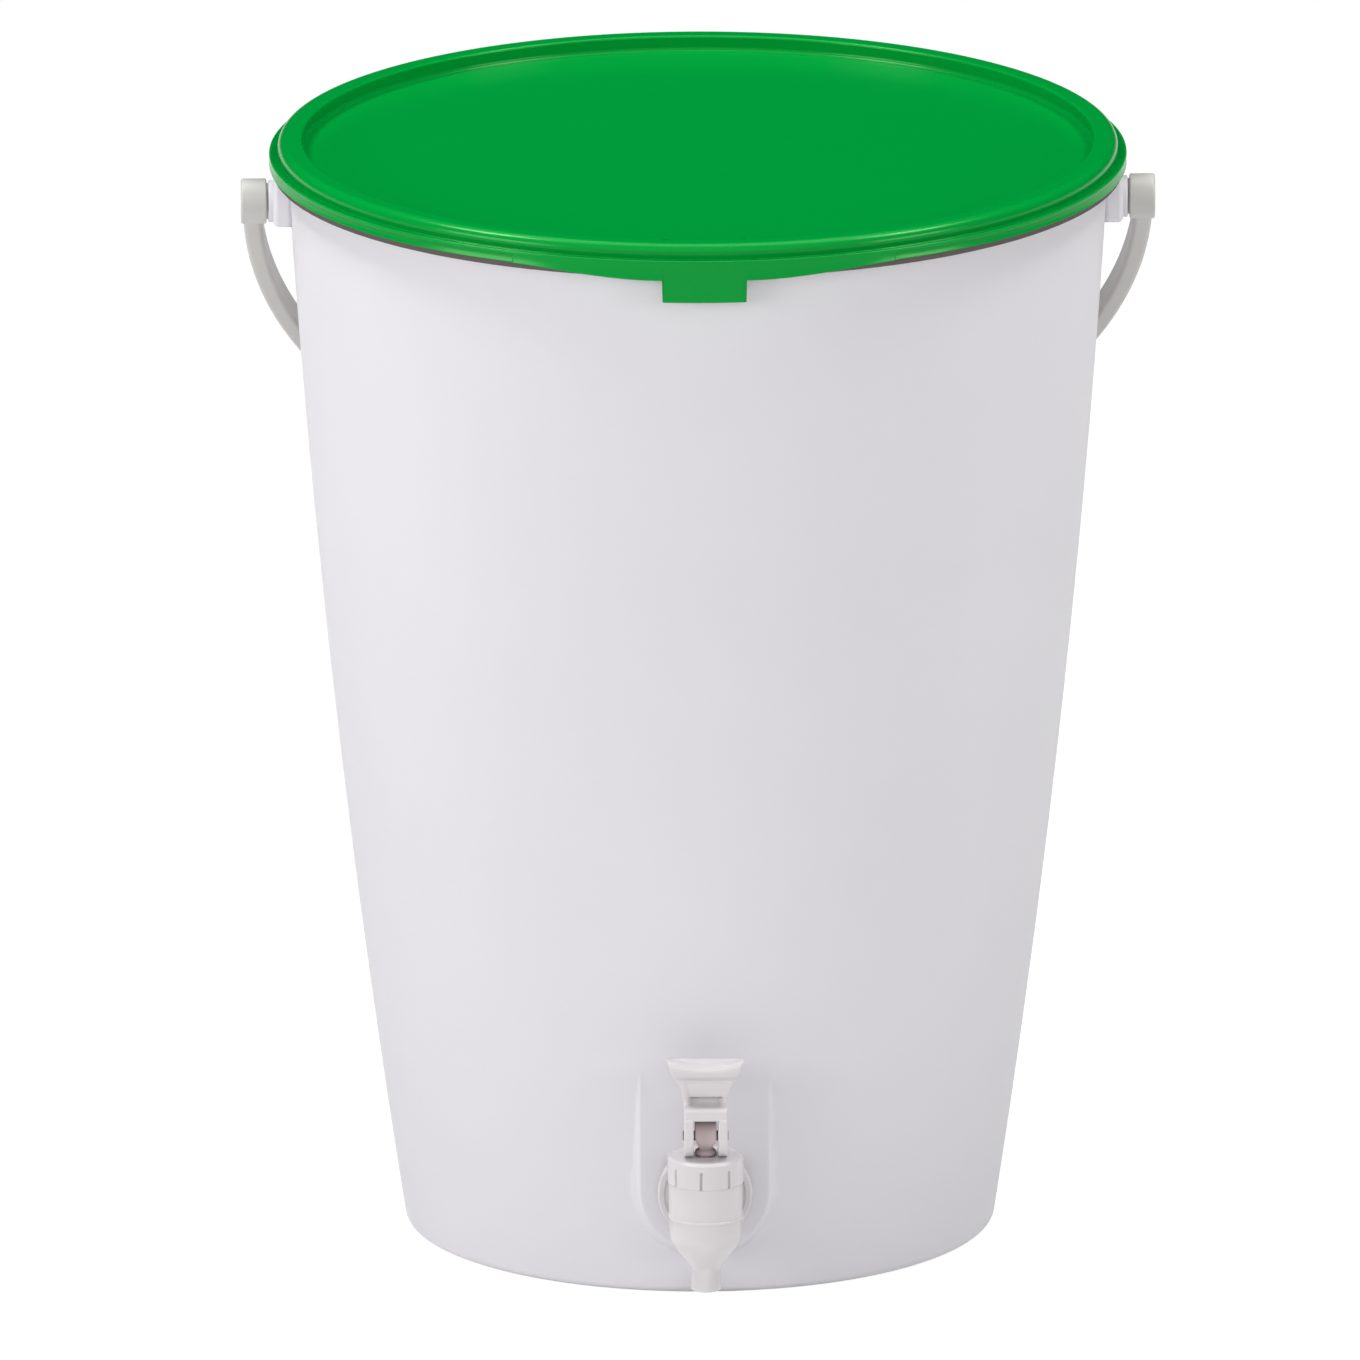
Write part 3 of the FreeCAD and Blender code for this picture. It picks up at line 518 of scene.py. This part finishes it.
def lid_grid():
    """Closed shell: panel, crown, groove, rim and skirt turned round; the skirt's rows follow its edge."""
    # Finer steps at the ends of the lip and at the sides of the tab
    fine = [np.arange(-180, -30, 1.5), np.arange(-30, -27, 0.5), np.arange(-27, -26, 0.06),
            np.arange(-26, -6, 0.5), np.arange(-6, -5.2, 0.04), np.arange(-5.2, 5.2, 0.4),
            np.arange(5.2, 6, 0.04), np.arange(6, 26, 0.5), np.arange(26, 27, 0.06),
            np.arange(27, 30, 0.5), np.arange(30, 180, 1.5)]
    angles = np.radians(np.concatenate(fine))
    panel = LID_TOP - PANEL_DEPTH
    under_panel = panel - LID_WALL
    under_crown = LID_TOP - LID_WALL
    edge_top = LID_TOP - EDGE_DEPTH
    skirt_top = edge_top - 0.9
    skirt_inside = LID_EDGE - LID_WALL
    upper = rounded_path([(0, panel, 0), (60, panel, 0), (110, panel, 0), (RECESS_RADIUS + 0.7, panel, 1.4),
                          (RECESS_RADIUS - 0.3, LID_TOP, 0.8), (CROWN_RADIUS, LID_TOP, 3.2),
                          (GROOVE_RADIUS, LID_TOP - GROOVE_DEPTH, 0.5), (LID_EDGE - 0.6, edge_top, 0.35),
                          (LID_EDGE - 0.5, skirt_top, 0)], 7)
    lower = rounded_path([(skirt_inside, edge_top - 1.65, 0), (CHANNEL_OUTER + 0.9, LID_TOP - 6.8, 0.3),
                          (CHANNEL_OUTER, LID_TOP - 6.5, 0.2), (CHANNEL_OUTER, under_crown, 0.4),
                          (CHANNEL_INNER, under_crown, 0.4), (CHANNEL_INNER, under_panel, 0.6),
                          (110, under_panel, 0), (60, under_panel, 0), (0, under_panel, 0)], 5)
    level = SKIRT_LOW - skirt_drop(angles)
    step = lip_step(angles)
    share = np.linspace(0.06, 1, 16)[:, None]
    face_radius = LID_EDGE - 0.5 + 0.5 * share ** 2
    face = np.stack([face_radius - step * smooth_step(share, 0.1, 0.2),
                     skirt_top + (level - skirt_top) * share], axis=-1)
    under = np.stack([np.stack([radius - step, level + lift], axis=-1)
                      for radius, lift in ((LID_EDGE - 0.1, 0.0), (LID_EDGE - 0.4, -0.12),
                                           (LID_EDGE - 1.6, -0.12), (LID_EDGE - 1.9, 0.0))])
    back_share = np.linspace(0.95, 0.1, 8)[:, None]
    back_top = skirt_top - 0.7
    back = np.stack([skirt_inside + 0 * back_share * angles,
                     back_top + (level - back_top) * back_share], axis=-1)
    around = 0 * angles[:, None]
    profile = np.concatenate([upper[:, None, :] + around, face, under, back, lower[:, None, :] + around])
    radius, height = profile[..., 0], profile[..., 1]
    return np.stack([radius * np.sin(angles), -radius * np.cos(angles), height], axis=-1)


piece("lid_shell", [(lid_grid(), False)], "lid", "lid", lid_polypropylene)

# The soft ring in the lid's channel, with a dark flap that hangs over the rim and shows just below the skirt:
# a sheet drawn as the painted shade line of the gap under the skirt
seal_low = RIM_TOP + 0.05
seal = rounded_path([(SEAL_INNER, SEAL_TOP, 0), (SEAL_INNER, seal_low, 0.3), (SHADE_FLAP_INNER, seal_low, 0),
                     (SHADE_FLAP_INNER, SKIRT_LOW + 1.8, 0), (145.0, SHADE_FLAP_LOW, 0.3), (SHADE_FLAP_EDGE, SHADE_FLAP_LOW, 0.5),
                     (SHADE_FLAP_EDGE, SKIRT_LOW - 0.2, 0.3), (SHADE_FLAP_STEP, SKIRT_LOW - 0.2, 0.2),
                     (SHADE_FLAP_STEP, SKIRT_LOW + 0.5, 0.2), (SEAL_OUTER, SKIRT_LOW + 2.2, 0.2),
                     (SEAL_OUTER, SEAL_TOP, 0.2), (SEAL_INNER, SEAL_TOP, 0)], 4)[:-1]
piece("seal_ring", [(turned(seal, (0, 0, 0)), True)], "lid_seal", "lid", seal_rubber_painted_shade)


# Bail

def bail_strap():
    """Rounded rectangle carried along half an ellipse behind the pivots, then tipped down about them."""
    steps = np.linspace(0, math.pi, 181)[:, None]
    out_x = np.cos(steps) * BAIL_DROP
    out_y = np.sin(steps) * BAIL_HALF_SPAN
    length = np.hypot(out_x, out_y)
    section = rounded_rectangle(BAIL_HALF_THICKNESS, BAIL_HALF_WIDTH, 1.5)
    x = BAIL_HALF_SPAN * np.cos(steps) + section[:, 0] * out_x / length
    y = BAIL_DROP * np.sin(steps) + section[:, 0] * out_y / length
    z = section[:, 1] + 0 * steps
    tipped_y = y * math.cos(BAIL_REST) + z * math.sin(BAIL_REST)
    tipped_z = PIVOT_Z - y * math.sin(BAIL_REST) + z * math.cos(BAIL_REST)
    return capped(np.stack([x, tipped_y, tipped_z], axis=-1))


def bail_hub(side):
    """Pivot pin, thin collar and round hub with a dimpled end: one profile turned about the hinge."""
    collar_end = HUB_FACE - 0.5
    dimple = HUB_END - DIMPLE_DEPTH
    profile = rounded_path([(0, PIN_END, 0), (PIN_RADIUS, PIN_END, 0.4), (PIN_RADIUS, collar_end, 0.1),
                            (COLLAR_RADIUS, collar_end, 0.1), (COLLAR_RADIUS, HUB_FACE, 0.1),
                            (HUB_RADIUS, HUB_FACE, 0.6), (HUB_RADIUS, HUB_END, 0.8),
                            (DIMPLE_RADIUS, HUB_END, 0.3), (DIMPLE_RADIUS - 0.3, dimple, 0.3),
                            (0, dimple, 0)], 6)
    return turned(profile * np.array([1, side]), (0, 0, PIVOT_Z), "x")


piece("bail", [(bail_strap(), False), (bail_hub(-1), False), (bail_hub(1), False)],
      "bail_handle", "handle", bail_polypropylene)


# Tap

tap_barrel = rounded_path([
    (SPOUT_BORE, 24.0, 0), (SPOUT_BORE, SPOUT_LOW, 0.25), (SPOUT_RADIUS, SPOUT_LOW, 0.4),
    (SPOUT_RADIUS, SPOUT_LOW + 8.0, 3.0), (CONE_RADIUS, SPOUT_LOW + 17.8, 5.0), (CONE_RADIUS, RING_LOW, 0.2),
    (RING_RADIUS, RING_LOW + 0.1, 0.35), (RING_RADIUS, RING_LOW + 1.0, 0.35),
    (BARREL_RADIUS, RING_LOW + 1.2, 0.2), (BARREL_RADIUS, BONNET_LOW, 0.3), (CAP_NECK, BONNET_LOW, 0),
    (CAP_NECK, CAP_NECK_TOP, 0.3), (CHAMBER_RADIUS, CAP_NECK_TOP, 0.3), (CHAMBER_RADIUS, CHAMBER_LOW, 0.5),
    (SPOUT_BORE, CHAMBER_LOW, 0.3), (SPOUT_BORE, 24.0, 0)], 6)[:-1]
tap_arm = rounded_path([
    (SHANK_BORE, ARM_START, 0), (ARM_RADIUS, ARM_START, 0), (ARM_RADIUS, FLANGE_FRONT, 1.2),
    (13.8, FLANGE_FRONT, 0.2), (14.3, FLANGE_FRONT - FLANGE_RIM, 0.4),
    (FLANGE_RADIUS, FLANGE_FRONT - FLANGE_RIM, 0.9), (FLANGE_RADIUS, WASHER_FRONT, 0.5),
    (SHANK_RADIUS, WASHER_FRONT, 0.2), (SHANK_RADIUS, SHANK_END, 0.5), (SHANK_BORE, SHANK_END, 0.3),
    (SHANK_BORE, ARM_START, 0)], 5)[:-1]
piece("tap_barrel", [(turned(tap_barrel, (0, TAP_Y, 0)), True), (turned(tap_arm, (0, 0, TAP_Z), "y"), True)],
      "tap_body", "bin", tap_abs)


def bonnet_grid():
    """Cap profile turned round the stem, with narrow upright grooves pressed into its side."""
    angles = np.radians(np.arange(0, 360, 0.5))
    side_top = BONNET_TOP - 1.1
    roof = BONNET_TOP - CAP_ROOF
    side = np.column_stack([np.full(24, CAP_RADIUS), np.linspace(BONNET_LOW + 0.3, side_top, 24)])
    top = rounded_path([(CAP_RADIUS, side_top, 0), (CAP_RADIUS, BONNET_TOP - 0.9, 0.2),
                        (12.4, BONNET_TOP, 0.3), (CAP_BORE, BONNET_TOP, 0.3), (CAP_BORE, roof, 0.2),
                        (CAP_INSIDE, roof, 0.2), (CAP_INSIDE, BONNET_LOW, 0.1), (13.1, BONNET_LOW, 0)],
                       5)[1:]
    profile = np.concatenate([side, top])
    height = profile[:, 1:2]
    turn = 2 * math.pi / CAP_GROOVES
    from_groove = np.abs((angles - CAP_TURN * turn + math.pi / 2 + turn / 2) % turn - turn / 2) * CAP_RADIUS
    below_end = 1 - smooth_step(height, BONNET_LOW + 6.2, BONNET_LOW + 6.6)
    groove = GROOVE_PRESS * (1 - smooth_step(from_groove, 0.3, 0.6)) * below_end
    on_side = np.arange(len(profile))[:, None] < len(side)
    radius = profile[:, :1] - np.where(on_side, groove, 0 * groove)
    return np.stack([radius * np.sin(angles), TAP_Y - radius * np.cos(angles), height + 0 * angles], axis=-1)


piece("tap_cap", [(bonnet_grid(), True)], "tap_bonnet", "bin", tap_abs)

washer = rounded_path([(SHANK_HOLE, WASHER_FRONT, 0), (WASHER_RADIUS, WASHER_FRONT, 0.4),
                       (WASHER_RADIUS, WASHER_BACK, 0.4), (SHANK_HOLE, WASHER_BACK, 0),
                       (SHANK_HOLE, WASHER_FRONT, 0)], 4)[:-1]
piece("front_washer", [(turned(washer, (0, 0, TAP_Z), "y"), True)], "tap_outer_washer", "bin", washer_rubber)


def lever_loops(rows):
    """Loops of a lever section at each height: a rectangle with quarter-round corners.

    The front side is cut into even steps, so that a channel can be pressed into it.
    """
    half_width, front, back, corner = (rows[:, place, None] for place in (1, 2, 3, 4))
    quarter = np.linspace(0, math.pi / 2, 6)[None, :]
    rise, run = corner * np.sin(quarter), corner * np.cos(quarter)
    inner = half_width - corner
    front_x = inner * np.linspace(-1, 1, LEVER_FRONT_STEPS)[None, :]
    front_y = front + 0 * front_x
    x = np.concatenate([front_x, inner + rise, inner + run, -inner - rise, -inner - run], axis=1)
    y = np.concatenate([front_y, front + corner - run, back - corner + rise, back - corner + run,
                        front + corner - rise], axis=1)
    return x, y


def between_rows(rows, count):
    """Rows of sizes filled in between given heights by straight runs, evenly along the list."""
    places = np.arange(len(rows))
    fine = np.linspace(0, len(rows) - 1, count)
    return np.stack([np.interp(fine, places, rows[:, column]) for column in range(rows.shape[1])], axis=-1)


# Sections of the lever above its legs: height, half width, front, back, corner, channel depth
LEVER_ROWS = np.array([
    (7.6, 7.6, -9.38, LEVER_BACK, 0.7, 0.0), (9.2, 7.6, -9.1, LEVER_BACK, 0.8, 0.0),
    (10.7, 7.6, -8.9, LEVER_BACK, 0.8, 0.0), (11.3, 7.6, -8.6, LEVER_BACK, 0.8, 0.0),
    (11.6, 7.6, -8.1, LEVER_BACK, 0.8, 0.0), (11.8, 7.6, -7.2, LEVER_BACK, 0.8, 0.3),
    (12.1, 7.6, -5.5, 4.9, 0.8, 0.9), (12.4, 7.62, -4.5, 4.6, 0.8, 1.5), (12.9, 7.65, -3.9, 4.2, 0.8, 2.0),
    (13.5, 7.7, -3.6, 3.8, 0.8, 2.2), (14.7, 7.8, -3.3, 3.4, 0.8, 2.2), (14.85, 7.85, -4.0, 3.3, 0.8, 0.6),
    (16.0, 8.1, -4.2, 3.1, 0.8, 0.5), (18.0, 8.7, -4.3, 3.0, 0.8, 0.45), (20.0, 9.7, -4.4, 3.0, 0.8, 0.4),
    (21.0, 10.4, -4.7, 3.0, 0.9, 0.3), (21.7, 11.0, -5.3, 3.1, 1.0, 0.1), (22.3, 11.4, -6.0, 3.3, 1.1, 0.0),
    (22.9, 11.7, -6.5, 3.6, 1.2, 0.0), (24.0, 12.2, -7.05, 4.1, 1.3, 0.0), (25.2, 12.6, -7.2, 4.6, 1.3, 0.0),
    (26.4, 13.0, -7.0, 5.0, 1.2, 0.0), (27.4, 13.3, -6.5, 5.1, 1.0, 0.0),
    (PADDLE_TOP, 13.45, -6.0, 5.0, 0.8, 0.0)])


def paddle_end(x, y):
    """Height of the paddle's end: a parabola across it, deeper at the front, falling evenly to the back."""
    sag = 1.45 - 0.11 * y
    return PADDLE_CORNERS - sag * (1 - (x / PADDLE_HALF_WIDTH) ** 2) - 0.18 * (y + 5.6)


def lever_top():
    """Block, arm and thumb paddle: loops stacked upwards, a channel in the arm's front, and a dished end."""
    rows = between_rows(LEVER_ROWS, 139)
    x, y = lever_loops(rows)
    z = rows[:, :1] + 0 * x
    channel_half = 5.3 + 0.25 * np.maximum(z - 13, 0)
    front_side = np.arange(x.shape[1])[None, :] < LEVER_FRONT_STEPS
    pressed = rows[:, 5:6] * (1 - smooth_step(np.abs(x), channel_half - 0.5, channel_half + 0.5))
    y = y + np.where(front_side, pressed, 0 * x)
    z = z + (paddle_end(x, y) - PADDLE_TOP) * smooth_step(z, 23.0, PADDLE_TOP)
    grid = np.stack([x, y, z], axis=-1)
    shrink = np.linspace(0.94, 0, 12)[:, None]
    middle_y = (y[-1].min() + y[-1].max()) / 2
    top_x = x[-1] * shrink
    top_y = middle_y + (y[-1] - middle_y) * shrink
    top = np.stack([top_x, top_y, paddle_end(top_x, top_y)], axis=-1)
    first = np.broadcast_to(grid[0].mean(axis=0), grid[0].shape)
    return np.concatenate([first[None], grid, top]) + np.array([0, TAP_Y, LEVER_Z])


def lever_leg(side):
    """Leg with its cam heel: rounded rectangles stacked upwards, whose front is the heel's involute."""
    rate = LEVER_RISE / LEVER_SWING
    tilt = np.linspace(0, LEVER_SWING, 16)
    reach = HEEL_REACH + rate * tilt
    heel_y = -reach * np.sin(tilt) - rate * np.cos(tilt)
    heel_z = -reach * np.cos(tilt) + rate * np.sin(tilt)
    z = np.concatenate([heel_z, np.linspace(heel_z[-1], 8.2, 7)[1:]])
    front = np.concatenate([heel_y, np.linspace(heel_y[-1], -9.3, 7)[1:]])
    back = LEVER_BACK - np.maximum(-5.7 - z, 0)
    rows = np.column_stack([z, np.full(len(z), LEG_HALF_WIDTH), front, back, np.full(len(z), 0.5)])
    x, y = lever_loops(rows)
    return capped(np.stack([side * LEG_PLACE + x, TAP_Y + y, LEVER_Z + z[:, None] + 0 * x], axis=-1))


piece("thumb_lever", [(lever_top(), False), (lever_leg(-1), False), (lever_leg(1), False)],
      "tap_lever", "lever", tap_abs)


def stem_grid():
    """Round rod, collar, waist and drum-shaped head as rounded rectangles stacked upwards."""
    turns = np.linspace(math.pi * 0.66, 0.12, 12)
    head_z = LEVER_Z + HEAD_RADIUS * np.cos(turns)
    head_y = HEAD_RADIUS * np.sin(turns)
    rod_z = np.concatenate([[33.0, 33.4], BONNET_TOP + np.array([0.0, 0.3, 0.5, 1.8, 2.4])])
    rod_radius = np.array([2.6, 3.0, 3.0, 3.0, 3.8, 3.6, 2.6])
    heights = np.concatenate([rod_z, head_z, [LEVER_Z + HEAD_RADIUS]])
    wide = np.concatenate([rod_radius, np.linspace(2.6, HEAD_HALF_WIDTH, 4), np.full(7, HEAD_HALF_WIDTH),
                           [3.5, 2.8]])
    deep = np.concatenate([rod_radius, head_y, [0.3]])
    corner = np.concatenate([rod_radius * 0.98, np.full(12, 0.5), [0.28]])
    loops = np.stack([rounded_rectangle(w, d, c) for w, d, c in zip(wide, deep, corner)])
    level = heights[:, None] + 0 * loops[..., 0]
    return capped(np.stack([loops[..., 0], TAP_Y + loops[..., 1], level], axis=-1))


piece("valve_stem", [(stem_grid(), False)], "tap_stem", "stem", stem_acetal_painted_light)

pin = rounded_path([(0, -LEVER_PIN_HALF_LENGTH, 0), (LEVER_PIN_RADIUS, -LEVER_PIN_HALF_LENGTH, 0.35),
                    (LEVER_PIN_RADIUS, LEVER_PIN_HALF_LENGTH, 0.35), (0, LEVER_PIN_HALF_LENGTH, 0)], 4)
piece("lever_pin", [(turned(pin, (0, TAP_Y, LEVER_Z), "x"), False)], "tap_pivot_pin", "stem", pin_steel)

# Pieces that stay as their CAD nodes, with their own finish
for node, material in (("drain_grate", grate_polypropylene), ("tap_seat_cup", cup_silicone),
                       ("tap_inner_washer", washer_rubber), ("tap_back_nut", tap_abs)):
    mesh = frame["nodes"][node].data
    mesh.materials.clear()
    mesh.materials.append(material)


# Studio

def studio_floor():
    """Pale floor. The eye and mirrors see it lit from within up to white, so that only the shadow shows."""
    half = 6.0
    corners = [(-half, -half, 0), (half, -half, 0), (half, half, 0), (-half, half, 0)]
    mesh = bpy.data.meshes.new("floor")
    mesh.from_pydata(corners, [], [(0, 1, 2, 3)])
    floor = bpy.data.objects.new("floor", mesh)
    bpy.context.scene.collection.objects.link(floor)
    material = bpy.data.materials.new("white paper floor")
    material.use_nodes = True
    tree = material.node_tree
    tree.nodes.remove(tree.nodes["Principled BSDF"])
    path = add_node(tree, "ShaderNodeLightPath").outputs
    seen = add_node(tree, "ShaderNodeMath", {0: path["Is Camera Ray"], 1: path["Is Glossy Ray"]},
                    operation="MAXIMUM")
    seen = add_node(tree, "ShaderNodeMath", {0: seen.outputs[0], 1: path["Is Transmission Ray"]},
                    operation="MAXIMUM")
    paper = add_node(tree, "ShaderNodeBsdfDiffuse", {"Color": (0.8, 0.8, 0.8, 1)})
    glow = add_node(tree, "ShaderNodeEmission", {"Color": (1, 1, 1, 1), "Strength": 0.9})
    thin = add_node(tree, "ShaderNodeBsdfDiffuse", {"Color": (0.2, 0.2, 0.2, 1)})
    bright = add_node(tree, "ShaderNodeAddShader", {0: glow.outputs[0], 1: thin.outputs[0]})
    mixed = add_node(tree, "ShaderNodeMixShader",
                     {0: seen.outputs[0], 1: paper.outputs[0], 2: bright.outputs[0]})
    tree.links.new(mixed.outputs[0], tree.nodes["Material Output"].inputs["Surface"])
    mesh.materials.append(material)


def studio_sky():
    """World that is bright in front of the bin, dark behind it, and white below like the floor."""
    world = bpy.data.worlds.new("bright room in front")
    world.use_nodes = True
    tree = world.node_tree
    direction = add_node(tree, "ShaderNodeTexCoord").outputs["Generated"]
    axes = add_node(tree, "ShaderNodeSeparateXYZ", {0: direction}).outputs
    room = add_node(tree, "ShaderNodeMapRange",
                    {"Value": axes["Y"], "From Min": -0.2, "From Max": -0.9, "To Min": 0.0, "To Max": 0.4},
                    interpolation_type="SMOOTHSTEP")
    ground = add_node(tree, "ShaderNodeMapRange",
                      {"Value": axes["Z"], "From Min": -0.02, "From Max": -0.03,
                       "To Min": 0.0, "To Max": 1.0})
    level = add_node(tree, "ShaderNodeMath", {0: room.outputs["Result"], 1: ground.outputs["Result"]},
                     operation="MAXIMUM")
    tree.links.new(level.outputs[0], tree.nodes["Background"].inputs["Strength"])
    tree.nodes["Background"].inputs["Color"].default_value = (1, 1, 1, 1)
    bpy.context.scene.world = world


def bearing_direction(azimuth, elevation):
    """Unit vector away from the bin at a bearing from the front and a height above the level, in radians."""
    return np.array([math.sin(azimuth) * math.cos(elevation), -math.cos(azimuth) * math.cos(elevation),
                     math.sin(elevation)])


def softbox(name, azimuth, elevation, distance, width, height, power):
    """Rectangular lamp at a bearing from the front, turned to face the middle of the bin."""
    lamp = bpy.data.lights.new(name, "AREA")
    lamp.shape = "RECTANGLE"
    lamp.size = width
    lamp.size_y = height
    lamp.energy = power
    made = bpy.data.objects.new(name, lamp)
    bearing, lift = math.radians(azimuth), math.radians(elevation)
    middle = np.array([0, 0, 0.2])
    made.location = (middle + bearing_direction(bearing, lift) * distance).tolist()
    made.rotation_euler = (math.pi / 2 - lift, 0, bearing)
    bpy.context.scene.collection.objects.link(made)


def photo_camera():
    """Long lens at the photo's bearing, height and small roll, aimed so that the frame matches it."""
    lens, sensor, frame_mm = 1700.0, 36.0, 474.95
    azimuth, elevation, roll = math.radians(-0.84), math.radians(15.36), math.radians(-0.12)
    target = np.array([-0.0066, 0.0, 0.1935])
    distance = frame_mm / 1000 * lens / sensor
    away = bearing_direction(azimuth, elevation)
    data = bpy.data.cameras.new("photo camera")
    data.lens = lens
    data.sensor_width = sensor
    data.clip_end = 100
    camera = bpy.data.objects.new("photo camera", data)
    camera.location = (target + away * distance).tolist()
    camera.rotation_mode = "QUATERNION"
    camera.rotation_quaternion = Vector(-away).to_track_quat("-Z", "Y") @ Quaternion((0, 0, 1), roll)
    bpy.context.scene.collection.objects.link(camera)
    bpy.context.scene.camera = camera


studio_floor()
studio_sky()
# Lamps: bearing and height in degrees, distance, width and height in metres, power in watts.
# The key and the fill light the wall from both sides, and its middle stays a little darker.
softbox("key light", -56, 14, 2.4, 1.2, 0.7, 22)
softbox("fill light", 58, 14, 2.4, 0.9, 0.5, 13.5)
# The overhead pair draws the thin streaks on the shoulder of the lid.
softbox("left overhead light", -88, 60, 1.8, 0.5, 0.4, 14)
softbox("right overhead light", 88, 60, 1.8, 0.5, 0.4, 11)
# The front light opens the shade round the tap, and the top light is for the lid's panel.
softbox("front light", 0, 28, 2.4, 2.4, 1.6, 5.6)
softbox("top light", 0, 96, 2.2, 1.6, 1.6, 18.5)
photo_camera()
bpy.context.scene.view_settings.view_transform = "Standard"
